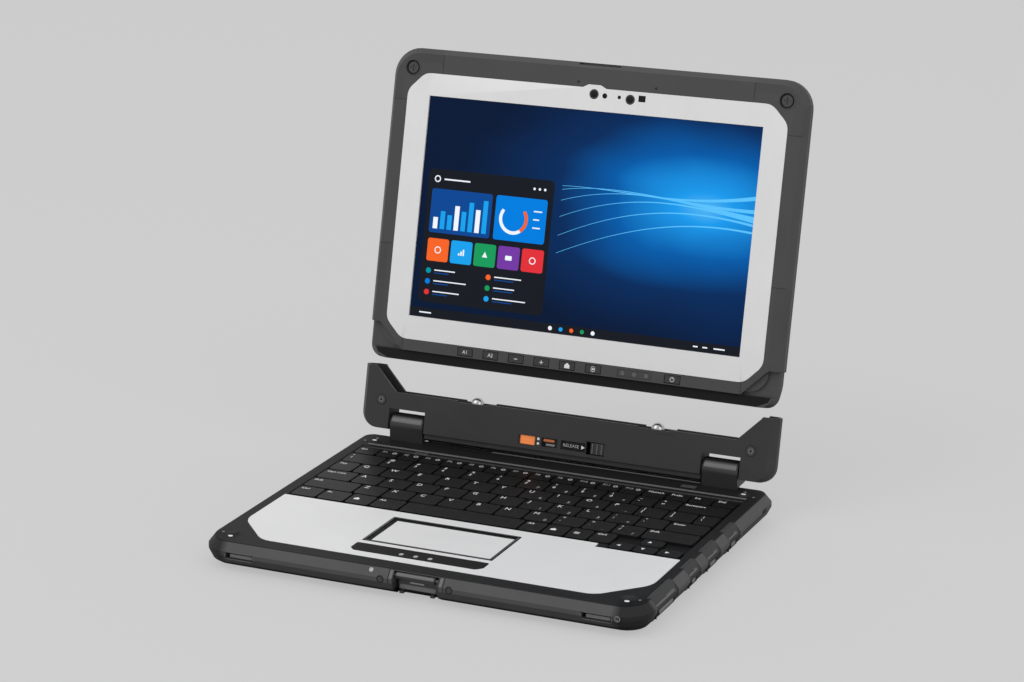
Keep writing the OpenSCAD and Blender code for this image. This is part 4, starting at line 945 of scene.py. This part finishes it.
class LAPTOP_OT_base_sides(LaptopPiece, bpy.types.Operator):
    """Add the trim of the base's front and sides, and the painted highlight and shade on the ribs of the port
    doors
    """

    bl_idname = "laptop.base_sides"
    bl_label = "Base side trim"

    LATCH_SEAMS = (-15.3, -12.4, 15.2, 18.3)  # X of the seams at both sides of the latch
    SEAM_HALF = 0.25  # half their width

    def execute(self, context):
        self.front()
        self.belt()
        self.latch()
        for number in DOORS:
            self.door(number)
        self.side()
        self.underside()
        return {"FINISHED"}

    def front(self):
        """Slot rims and slot bars in painted highlight with painted shadow under the bars, screws in shadow
        rings, seams and a printed sign on the upright front.
        """
        slot_y = SPLIT_Z + 0.6
        screw_y, sign_y = BELT_Z - 0.9, slot_y + 0.9
        trim = Shape("seam")
        for x in (-109, 109):
            trim.paint("casing_highlight").border((x, slot_y), (18.2, 4.2), 1.0, 0.3, on(0), steps=3)
            trim.paint("rib").rounded((x + 1.0, slot_y - 0.1), (14.0, 1.9), 0.5, (-2.6, -0.7))
            trim.paint("seam").block((x - 6, x + 8), (slot_y - 1.5, slot_y - 1.05), (-2.4, -0.6))
        for x in (-20.0, 22.0):
            trim.paint("seam").ring((x, screw_y), 2.3, 1.5, on(0))
            trim.paint("screw").disc((x, screw_y), 1.4, on(0), 1.2)
        trim.paint("grey_print_and_glint").ring((121.3, sign_y), 1.7, 1.2, on(0), sides=18)
        trim.words("2", 2.4, (121.4, sign_y, 0), SKIN)
        trim.paint("seam")
        for x in self.LATCH_SEAMS:
            trim.block(about(x, self.SEAM_HALF), (SPLIT_Z, BELT_Z), on(0))
        trim.made("front_trim", front_face(FRONT_Y), "base")

    def belt(self):
        """Seams, latch collars drawn as painted highlights, and an icon on the slanted front."""
        rise = TOP_Z - BELT_Z
        slanted = front_face(FRONT_Y, BELT_Z, math.atan2(rise, SLANT_RUN))
        slope = math.hypot(rise, SLANT_RUN)
        belt = Shape("seam")
        for x in self.LATCH_SEAMS:
            belt.block(about(x, self.SEAM_HALF), (0, slope - 0.4), on(0))
        for x in (-13.9, 16.7):
            belt.paint("casing_highlight").rounded((x, slope / 2 - 0.4), (1.8, slope - 1.4), 0.5, on(0, 0.18))
        belt.paint("mark_mid").rounded((-26.4, slope / 2 + 0.6), (2.4, 2.4), 0.8, on(0))
        belt.made("belt_trim", slanted, "base")

    def latch(self):
        """Painted highlight band round the front latch's upper edge, and a painted highlight plate with a
        brighter line on its face.
        """
        low, high = box_mm("front_latch")
        round_edge = 2.0  # of the solid lever
        axis = (low.y + round_edge, high.z - round_edge)
        lever = Shape("rib")
        lever.curved_band((low.x + 0.6, high.x - 0.6), axis, round_edge + SKIN, range(12, 63, 10))
        lever.made("latch_highlight_band", BASE, "latch", smooth=True)
        plate = Shape("rib")
        centre = (low.x + high.x) / 2
        plate.rounded((centre, low.z + 3.6), (high.x - low.x - 2.2, 2.6), 0.6, on(0))
        plate.paint("glint").rounded((centre - 0.4, high.z - 6.0), (8.6, 0.9), 0.4, on(0))
        plate.made("latch_face", front_face(high.y - 1.6), "latch")

    def door(self, number):
        """Raised ridge in painted highlight with painted shade beneath it, latch notch in painted shade, low
        panel in painted shade with a painted highlight inside it, and the dark seam of one port door.
        """
        low, high = box_mm(f"port_door_{number}")
        middle, length = (low.y + high.y) / 2, high.y - low.y
        rib_start, rib_end = low.y + 1.0, high.y - 3.4
        panel_y, proud = middle - 1.6, 0.02
        detail = Shape("rib")
        detail.block((rib_start, rib_end), (BELT_Z - 0.5, BELT_Z + 1.0), (-1.2, -0.35))
        detail.block((middle + 0.8, rib_end), (BELT_Z - 0.5, BELT_Z + 1.6), (-1.2, -0.9))
        detail.paint("seam").block((rib_start, rib_end), (BELT_Z - 1.0, BELT_Z - 0.5), (-1.0, proud))
        detail.rounded((rib_end, SPLIT_Z - 0.4), (2.2, 3.8), 0.6, (-1.0, 0.03))
        detail.rounded((panel_y, SPLIT_Z - 1.0), (length - 9.5, 3.9), 0.7, (-1.2, proud))
        detail.paint("rib").rounded((panel_y, SPLIT_Z - 1.2), (length - 11.5, 2.3), 0.5, (-1.4, 0.05))
        detail.paint("seam").block((low.y + 0.02, low.y + 0.45), (SPLIT_Z - 4, BELT_Z), (-2.0, proud))
        detail.made(f"door_{number}_ribs", right_face(high.x), f"door_{number}",
                    edge=SMALL_EDGE)

    def side(self):
        """Groove and slot in painted shade behind the last door, with a painted highlight line above the
        groove.
        """
        groove = Shape("seam")
        start = box_mm("port_door_4")[1].y + 4
        groove.block((start, 86), (SPLIT_Z + 0.2, SPLIT_Z + 1.0), on(0))
        groove.rounded((83.5, SPLIT_Z + 1.6), (6.4, 2.2), 0.8, on(0))
        groove.paint("rib").block((start, 79.5), (SPLIT_Z + 1.2, SPLIT_Z + 1.6), on(0))
        groove.made("side_groove", right_face(HALF_W), "base")

    def underside(self):
        """Battery hatch, cooling slots, hatch catches and cross-head screws, seen from below."""
        flipped = Matrix.Translation((0, 0, FLOOR_Z * MM)) @ Matrix.Rotation(math.pi, 4, "X") @ BASE
        under = Shape("seam")
        for centre, size in (((-52, 6), (112, 66)), ((66, -34), (70, 44))):
            under.border(centre, size, 4, 0.5, on(0))
        under.slots(14, 4.2, (38, 46), (1.6, 20), 0.7, on(0))
        for x in (-60, -44):
            under.paint("black").rounded((x, 46), (11, 5), 2.2, on(0, 0.7))
        hatch_screws = [(x, y) for y in (-23, 35) for x in (-104, 0)]
        cover_screws = [(x, y) for y in (-52, -16) for x in (35, 97)]
        for place in hatch_screws + cover_screws:
            under.screw_head(place, 2.4, 0, 0.25, (1.3, 0.25), cross=True)
        under.made("underside_trim", flipped, "base")


class LAPTOP_OT_carrier(LaptopPiece, bpy.types.Operator):
    """Add the carrier's labels, cap rings and rear trim, and the painted highlight bands of the hinge blocks
    """

    bl_idname = "laptop.carrier"
    bl_label = "Carrier trim"

    def execute(self, context):
        self.labels()
        self.slider()
        self.caps()
        self.rear()
        self.hinges()
        return {"FINISHED"}

    def labels(self):
        """Lock window, its signs and the release legend, in the recess of the carrier's front."""
        line_y, recess = 2.0, FACE - 0.4
        ink, raised = (recess, recess + SKIN), (recess, recess + LEGEND_LIFT)
        panel = Shape("seam")
        panel.block((-27.2, -26.2), (-1.1, 4.9), on(FACE))
        for x, wide in ((-6.5, 10.3), (8.9, 15.8)):
            panel.rounded((x, line_y), (wide, 5.4), 0.4, (recess - 0.05, recess))
        for y in (3.6, 0.8):
            panel.paint("print_and_glint").disc((-13.9, y), 0.8, on(FACE), sides=18)
        panel.paint("flag_dull").rounded((-7.0, 3.3), (7.2, 1.5), 0.5, ink)
        panel.paint("grey_print_and_glint").rounded((-5.9, 0.8), (5.8, 1.3), 0.4, ink)
        panel.paint("mark_mid").words("RELEASE", 2.7, (7.6, line_y, recess), LEGEND_LIFT, stretch=1.05)
        panel.paint("print_and_glint").solid(arrow_head((15.2, line_y), 1.4, 0), raised)
        panel.made("carrier_labels", LID, "carrier")

    def slider(self):
        """Three grip lines in painted highlight on the release slider."""
        low, high = box_mm("release_slider")
        lines = Shape("rib")
        for step in (-3, 0, 3):
            lines.block(about((low.x + high.x) / 2 + step, 0.25), (-0.9, 5.5), (FACE + 0.08, FACE + 0.13))
        lines.made("slider_lines", LID, "release")

    def caps(self):
        """Rings of the screw caps at both ends of the carrier, each a shadow ring with a painted glint ring
        inside, and a short seam.
        """
        trim = Shape("seam")
        cap_x, cap_y = 121.5, 14.2
        for x in (-cap_x, cap_x):
            trim.paint("seam").ring((x, cap_y), 3.4, 2.7, (FACE - 0.2, FACE + SKIN))
            trim.paint("grey_print_and_glint").ring((x, cap_y), 1.5, 1.1, (FACE + 0.2, FACE + 0.28), sides=18)
        trim.paint("seam").block((62, 73), (16.9, 17.2), (FACE - 0.2, FACE + SKIN))
        trim.made("carrier_trim", LID, "carrier")

    def rear(self):
        """Plate seam and slotted screws of the carrier's back."""
        rear = Shape("seam")
        rear.border((0, 8), (120, 15), 2.5, 0.4, on(FACE), steps=3)
        for x in (-52, 52, -20, 20):
            rear.screw_head((x, 4), 1.9, FACE, 0.2, (1.1, 0.2))
        rear.made("carrier_rear_trim", LID @ TURNED, "carrier")

    def hinges(self):
        """Painted highlight band on each hinge block."""
        axis = Vector(JOINTS["lid_hinge"]["pos_m"]) / MM
        inset, proud = 1.2, 0.08
        bands = Shape("hinge_highlight")
        for low, high in islands("hinge_blocks"):
            radius = axis.y - low.y + proud
            bands.curved_band((low.x + inset, high.x - inset), (axis.y, axis.z), radius, range(26, 62, 5))
        bands.made("hinge_highlight_bands", BASE, "base", smooth=True)


LAYER = 0.03  # thickness of one layer of the screen's picture


def layer(number, thick=LAYER):
    """Lower and upper height of a layer of the picture, counted from the glass."""
    low = GLASS_FACE + LAYER * number
    return low, low + thick


class LAPTOP_OT_screen(LaptopPiece, bpy.types.Operator):
    """Light the picture: a deep blue ground, a panel of charts and tiles, and curved bands of light"""

    bl_idname = "laptop.screen"
    bl_label = "Screen picture"

    EDGE = SCREEN_W / 2 - 0.2  # half the width of the picture
    FOOT = SCREEN_RISE + 0.2  # its lower edge

    def execute(self, context):
        wide = (-self.EDGE, self.EDGE)
        ground = Shape("picture_ground")
        ground.block(wide, (self.FOOT, SCREEN_RISE + SCREEN_H - 0.2), layer(0))
        ground.made("picture_ground", TABLET, "tablet")
        sheet = Shape("picture_sheet")
        sheet.rounded((-62, 72), (84, 82), 3, layer(1))
        sheet.block(wide, (self.FOOT, self.FOOT + 5.6), layer(1))
        sheet.made("picture_sheets", TABLET, "tablet")
        self.charts()
        self.tiles()
        self.ribbons()
        return {"FINISHED"}

    def charts(self):
        """Header of the panel, a bar chart and a round gauge."""
        flat, raised = layer(2), layer(3)
        header_y, chart_y = 107, 87.5
        shape = Shape("pixel_white")
        shape.ring((-98, header_y), 2.1, 1.4, flat, sides=24)
        shape.block((-93.5, -76), (header_y - 0.4, header_y + 0.5), flat)
        for x in (-33, -29.5, -26):
            shape.disc((x, header_y), 0.8, flat, sides=14)
        for key, x, wide in (("pixel_deep", -80.5, 41), ("pixel_blue", -40.5, 34)):
            shape.paint(key).rounded((x, chart_y), (wide, 27), 1.6, flat)
        bar_pitch, bar_width, bar_foot = 4.7, 3.1, 76.5
        for i, tall in enumerate((7, 11, 9, 15, 12, 18, 14, 20)):
            x = -98.5 + i * bar_pitch
            shape.paint("pixel_sky" if i % 3 else "pixel_white")
            shape.block((x, x + bar_width), (bar_foot, bar_foot + tall), raised)
        gauge_at, gauge_radius, gauge_width = (-45, chart_y), 8.5, 2.0
        for start, end, key in ((-210, -60, "pixel_white"), (-50, 30, "pixel_orange")):
            points = arc(gauge_at, gauge_radius, range(start, end + 1, 10))
            shape.paint(key).strip(points, gauge_width, raised)
        shape.paint("pixel_white")
        line_x, line_pitch = -32, 5
        for i, wide in enumerate((5.5, 4, 5)):
            shape.block((line_x, line_x + wide), (93 - i * line_pitch, 93.8 - i * line_pitch), raised)
        shape.made("picture_charts", TABLET, "tablet")

    def tiles(self):
        """Row of coloured tiles, a list in two columns, and the marks of the bottom bar."""
        flat = layer(2)
        tiles = Shape("pixel_blue")
        row_y, tile_pitch = 63.5, 15.9
        for i, key in enumerate(("pixel_orange", "pixel_sky", "pixel_green", "pixel_purple", "pixel_red")):
            x = -93.5 + i * tile_pitch
            tiles.paint(key).rounded((x, row_y), (14.4, 14), 1.4, flat)
            self.sign(tiles, i % 4, x, row_y)
        colours = ("pixel_teal", "pixel_orange", "pixel_blue", "pixel_green", "pixel_red", "pixel_sky")
        column_pitch, line_pitch = 40.5, 6.6
        for i, key in enumerate(colours):
            x, y = -98.5 + column_pitch * (i % 2), 50.5 - line_pitch * (i // 2)
            tiles.paint(key).disc((x, y), 1.7, flat, sides=20)
            tiles.paint("pixel_white").block((x + 4, x + 18 + 4 * (i % 3)), (y + 0.2, y + 0.9), flat)
            tiles.paint("pixel_deep").block((x + 4, x + 14 + 3 * (i % 2)), (y - 1.5, y - 0.9), flat)
        bar_y = SCREEN_RISE + 3.0
        for i, key in enumerate(("pixel_white", "pixel_sky", "pixel_orange", "pixel_green", "pixel_white")):
            tiles.paint(key).disc((-14 + i * 7, bar_y), 1.3, flat, sides=18)
        for x, wide in ((-98, 8), (80, 3), (86, 3), (95, 7)):
            tiles.paint("pixel_white").block(about(x, wide / 2), about(bar_y, 0.4), flat)
        tiles.made("picture_tiles", TABLET, "tablet")

    def sign(self, shape, kind, x, y):
        """Small white sign in the middle of a tile."""
        raised = layer(3, 0.02)
        shape.paint("pixel_white")
        if kind == 0:
            shape.ring((x, y), 2.2, 1.6, raised, sides=20)
        elif kind == 1:
            for i, tall in enumerate((1.4, 2.6, 3.8)):
                left = x - 2 + i * 1.5
                shape.block((left, left + 1), (y - 1.9, y - 1.9 + tall), raised)
        elif kind == 2:
            shape.solid(arrow_head((x, y), 2.2, 90), raised)
        else:
            shape.rounded((x, y), (4.4, 2.8), 0.5, raised)

    def ribbons(self):
        """Curved bands of light that sweep from the right edge to the left."""
        shape = Shape("pixel_beam")
        start, steps = -15, 32
        for k in range(6):
            level, wave = 92 + 7 * k, 5 + 2 * k
            top, bottom = [], []
            for i in range(steps + 1):
                along = i / steps
                sag = 22 * (1 - along) ** 2
                x = start + (self.EDGE - start) * along
                y = level - sag + wave * math.sin(2.6 * along + 0.55 * k)
                half = 0.12 + (0.5 + 0.12 * k) * along ** 2
                top.append((x, y + half))
                bottom.append((x, y - half))
            shape.solid(bottom + top[::-1], layer(1, 0.01))
        shape.made("picture_ribbons", TABLET, "tablet")


class LAPTOP_OT_tablet(LaptopPiece, bpy.types.Operator):
    """Add button legends, lens rings, frame seams, painted shade on the lower tongue and the tablet's rear
    trim
    """

    bl_idname = "laptop.tablet"
    bl_label = "Tablet trim"

    BUTTON_Y = 3.3  # height of the front buttons above the ledge

    def execute(self, context):
        for name, x in BUTTON_X.items():
            self.button_sign(name, x)
        self.status()
        self.lenses()
        self.seams()
        self.rims()
        self.rear()
        return {"FINISHED"}

    def button_sign(self, name, x):
        """Sign on one front button."""
        y, face, bar = self.BUTTON_Y, FACE + 0.1, 0.2
        heights = (face, face + LEGEND_LIFT)
        sign = Shape("print_and_glint")
        if name in ("a1", "a2"):
            sign.words(name.upper(), 3.0, (x, y, face), LEGEND_LIFT)
        elif name == "minus":
            sign.block(about(x, 1.1), about(y, bar), heights)
        elif name == "plus":
            sign.solid(cross_outline((x, y), 1.1, bar), heights)
        elif name == "home":
            add_icon(sign, "HOME", x, y, heights)
        elif name == "rotate":
            sign.border((x, y), (2.2, 2.8), 0.4, 0.3, heights, steps=2)
            sign.block(about(x, 0.6), about(y, 0.5), heights)
        else:
            sign.strip(arc((x, y), 1.3, range(120, 421, 30)), 0.32, heights)
            sign.block(about(x, 0.17), (y + 0.2, y + 1.7), heights)
        sign.made(f"sign_{name}", TABLET, f"button_{name}")

    def status(self):
        """Three round signs in the status window."""
        status = Shape("grey_print_and_glint")
        window = FACE - 0.1
        for x in (36, 43.6, 51.2):
            status.ring((x, self.BUTTON_Y), 1.1, 0.8, (window, window + SKIN), sides=18)
            status.block(about(x, 0.15), about(self.BUTTON_Y, 0.6), (window, window + SKIN))
        status.made("status_signs", TABLET, "tablet")

    def lenses(self):
        """Rings and inner glass of the two camera lenses."""
        shape = Shape("lens_ring")
        face, low = FACE - 0.1, FACE - 0.15
        bezel_top = SCREEN_RISE + SCREEN_H + 13.7
        for x, drop in ((0, 3.7), (23.5, 5.1)):
            lens_at = (x, bezel_top - drop)
            shape.paint("lens_ring").ring(lens_at, 2.8, 2.1, (low, face + 0.12))
            shape.paint("lens").disc(lens_at, 1.6, (low, face + 0.1), 0.9)
        shape.made("lens_details", TABLET, "tablet")

    def seams(self):
        """Shadow gaps of the frame and the microphone holes, and painted shade on the face of the lower
        tongue.
        """
        shape = Shape("seam")
        cut, half = (FACE - 0.3, FACE + 0.03), 0.15
        for sign in (-1, 1):
            for x, upright in ((101, (171.8, 182.4)), (111, (-0.2, 6.8))):
                shape.block(about(sign * x, half), upright, cut)
            for rise in (43, 132):
                level = sorted((sign * 124.2, sign * 132.6))
                shape.block(level, about(SCREEN_RISE + rise, half), cut)
            shape.disc((sign * 25 + 14.3, SCREEN_RISE + 152.2), 0.8, cut, sides=14)
        shape.made("frame_seams", TABLET, "tablet")

        # Painted shade on the recessed face of the lower tongue.
        right_half = [(121, -6.2), (128, -3.2), (129.8, -0.1)]
        outline = [(-121, -6.2)] + right_half + [(-x, y) for x, y in right_half[:0:-1]]
        tongue = Shape("frame_shaded")
        tongue.solid(outline, about(FACE - 2.1, 0.05))
        tongue.made("tongue_shade", TABLET, "tablet")

    def rims(self):
        """Raised rim and shadow of the two upper frame screws."""
        rims = Shape("frame")
        screw_x, screw_y = 121.4, 173.4
        outer, inner, hole = 5.3, 4.6, 3.9  # radii of the rim, its inside and the shadow's inside
        for x in (-screw_x, screw_x):
            rims.paint("seam").ring((x, screw_y), inner, hole, (FACE - 1.5, FACE - 0.6))
            rims.paint("frame").ring((x, screw_y), outer, inner, (FACE - 0.2, FACE + 0.25))
        rims.made("screw_rims", TABLET, "tablet", edge=SMALL_EDGE)

    def rear(self):
        """Back of the tablet: battery hatch with its catches, cooling slots, camera and slotted screws."""
        turned = TABLET @ TURNED
        hatch_at, hatch_size = (28, 58), (150, 74)
        hatch = Shape("tablet_back")
        hatch.rounded(hatch_at, hatch_size, 5, (FACE - 0.3, FACE + 0.35))
        hatch.made("battery_hatch", turned, "tablet", edge=USUAL_EDGE)

        trim = Shape("seam")
        trim.border(hatch_at, (hatch_size[0] + 2, hatch_size[1] + 2), 6, 0.5, on(FACE, 0.05))
        upper_y = 150  # middle of the camera and of the cooling slots
        lens_at, lamp_at = (86, upper_y), (98, upper_y)
        trim.slots(16, 4.4, (-100, upper_y), (1.8, 22), 0.8, on(FACE, 0.04))
        trim.paint("black").rounded((92, upper_y), (26, 20), 4, (FACE - 0.2, FACE + 0.3))
        trim.paint("lens_ring").ring(lens_at, 4.6, 3.4, (FACE, FACE + 0.4))
        trim.paint("lens").disc(lens_at, 3.4, (FACE, FACE + 0.36), 2.6)
        trim.paint("print_and_glint").disc(lamp_at, 1.7, (FACE, FACE + 0.34), 1.5)
        for x in (-42, 98):
            trim.paint("black").rounded((x, hatch_at[1]), (7, 16), 2, (FACE + 0.3, FACE + 0.8))
        for x in (-118, 118):
            for y in (28, 96, 168):
                trim.screw_head((x, y), 2.3, FACE, 0.2, (1.2, 0.22))
        trim.made("tablet_rear_trim", turned, "tablet")


FLOOR_HALF = 12.0  # half the side of the floor, in metres
LAMP_AIM = (0, 0.03, 0.1)  # in metres


class LAPTOP_OT_studio(LaptopPiece, bpy.types.Operator):
    """Set the floor, the lamps and the camera"""

    bl_idname = "laptop.studio"
    bl_label = "Studio"

    def execute(self, context):
        scene, studio = context.scene, context.scene.laptop_studio
        scene.view_settings.view_transform = "Standard"
        self.floor(studio)
        self.world(scene, studio)
        self.lamp("key_lamp", (-0.9, -1.0, 1.7), 1.5, studio.key_power)
        self.lamp("fill_lamp", (1.7, -0.5, 1.1), 1.2, studio.fill_power)
        self.camera(scene, studio)
        return {"FINISHED"}

    def camera(self, scene, studio):
        camera = bpy.data.cameras.new("camera")
        camera.sensor_width, camera.lens = 36.0, studio.lens
        camera.clip_start, camera.clip_end = 0.05, 50
        holder = bpy.data.objects.new("camera", camera)
        turn = Matrix.Rotation(studio.yaw, 4, "Z") @ Matrix.Rotation(math.pi / 2 - studio.pitch, 4, "X")
        holder.matrix_world = Matrix.Translation(studio.place) @ turn @ Matrix.Rotation(studio.roll, 4, "Z")
        scene.collection.objects.link(holder)
        scene.camera = holder

    def lamp(self, name, place, size, power):
        light = bpy.data.lights.new(name, "AREA")
        light.shape, light.size, light.energy = "SQUARE", size, power
        holder = bpy.data.objects.new(name, light)
        holder.location = place
        aim = Vector(LAMP_AIM) - Vector(place)
        holder.rotation_euler = aim.to_track_quat("-Z", "Y").to_euler()
        bpy.context.scene.collection.objects.link(holder)

    def world(self, scene, studio):
        """Even light all round, with the ground's colour where the camera sees it."""
        world = bpy.data.worlds.new("studio")
        scene.world = world
        world.use_nodes = True
        nodes, links = world.node_tree.nodes, world.node_tree.links
        nodes.clear()
        path = add_node(nodes, "ShaderNodeLightPath", (-600, 200))
        seen = add_node(nodes, "ShaderNodeBackground", (-300, 0), Color=rgba(studio.ground_colour[:]))
        light = add_node(nodes, "ShaderNodeBackground", (-300, -200), Color=even(1), Strength=studio.sky)
        mix = add_node(nodes, "ShaderNodeMixShader", (0, 0))
        output = add_node(nodes, "ShaderNodeOutputWorld", (200, 0))
        links.new(path.outputs["Is Camera Ray"], mix.inputs[0])
        links.new(light.outputs[0], mix.inputs[1])
        links.new(seen.outputs[0], mix.inputs[2])
        links.new(mix.outputs[0], output.inputs[0])

    def floor(self, studio):
        """Pale floor that takes the shadow, and is three parts in four its own colour to the camera."""
        corners = [(x * FLOOR_HALF, y * FLOOR_HALF, 0) for x, y in ((-1, -1), (1, -1), (1, 1), (-1, 1))]
        data = bpy.data.meshes.new("floor")
        data.from_pydata(corners, [], [(0, 1, 2, 3)])
        floor = bpy.data.objects.new("floor", data)
        bpy.context.scene.collection.objects.link(floor)
        material, nodes, links = new_material("Pale floor")
        shader = nodes["Principled BSDF"]
        set_inputs(shader, {"Base Color": rgba(studio.ground_colour[:]), "Roughness": 0.9})
        own = add_node(nodes, "ShaderNodeEmission", (-100, -300), Color=rgba(studio.ground_colour[:]))
        path = add_node(nodes, "ShaderNodeLightPath", (-500, 300))
        part = add_node(nodes, "ShaderNodeMath", (-250, 300), operation="MULTIPLY")
        part.inputs[1].default_value = 0.75
        mix = add_node(nodes, "ShaderNodeMixShader", (200, 0))
        links.new(path.outputs["Is Camera Ray"], part.inputs[0])
        links.new(part.outputs[0], mix.inputs[0])
        links.new(shader.outputs[0], mix.inputs[1])
        links.new(own.outputs[0], mix.inputs[2])
        links.new(mix.outputs[0], nodes["Material Output"].inputs["Surface"])
        data.materials.append(material)


class LAPTOP_PT_panel(bpy.types.Panel):
    """Lists the laptop's settings and steps"""

    bl_label = "Laptop"
    bl_idname = "LAPTOP_PT_panel"
    bl_space_type = "VIEW_3D"
    bl_region_type = "UI"
    bl_category = "Laptop"

    def draw(self, context):
        column = self.layout.column()
        for group in (context.scene.laptop_look, context.scene.laptop_studio):
            for key in group.bl_rna.properties.keys():
                if key not in ("rna_type", "name"):
                    column.prop(group, key)
        for step in STEPS:
            column.operator(f"laptop.{step}")


STEPS = ("solids", "keys", "base_top", "base_sides", "carrier", "screen", "tablet", "studio")
CLASSES = (LaptopLook, StudioSetup, LAPTOP_OT_solids, LAPTOP_OT_keys, LAPTOP_OT_base_top,
           LAPTOP_OT_base_sides, LAPTOP_OT_carrier, LAPTOP_OT_screen, LAPTOP_OT_tablet, LAPTOP_OT_studio,
           LAPTOP_PT_panel)


def register():
    for item in CLASSES:
        bpy.utils.register_class(item)
    bpy.types.Scene.laptop_look = bpy.props.PointerProperty(type=LaptopLook)
    bpy.types.Scene.laptop_studio = bpy.props.PointerProperty(type=StudioSetup)


def unregister():
    del bpy.types.Scene.laptop_studio
    del bpy.types.Scene.laptop_look
    for item in reversed(CLASSES):
        bpy.utils.unregister_class(item)


def main():
    register()
    for step in STEPS:
        getattr(bpy.ops.laptop, step)()


if __name__ == "__main__":
    main()
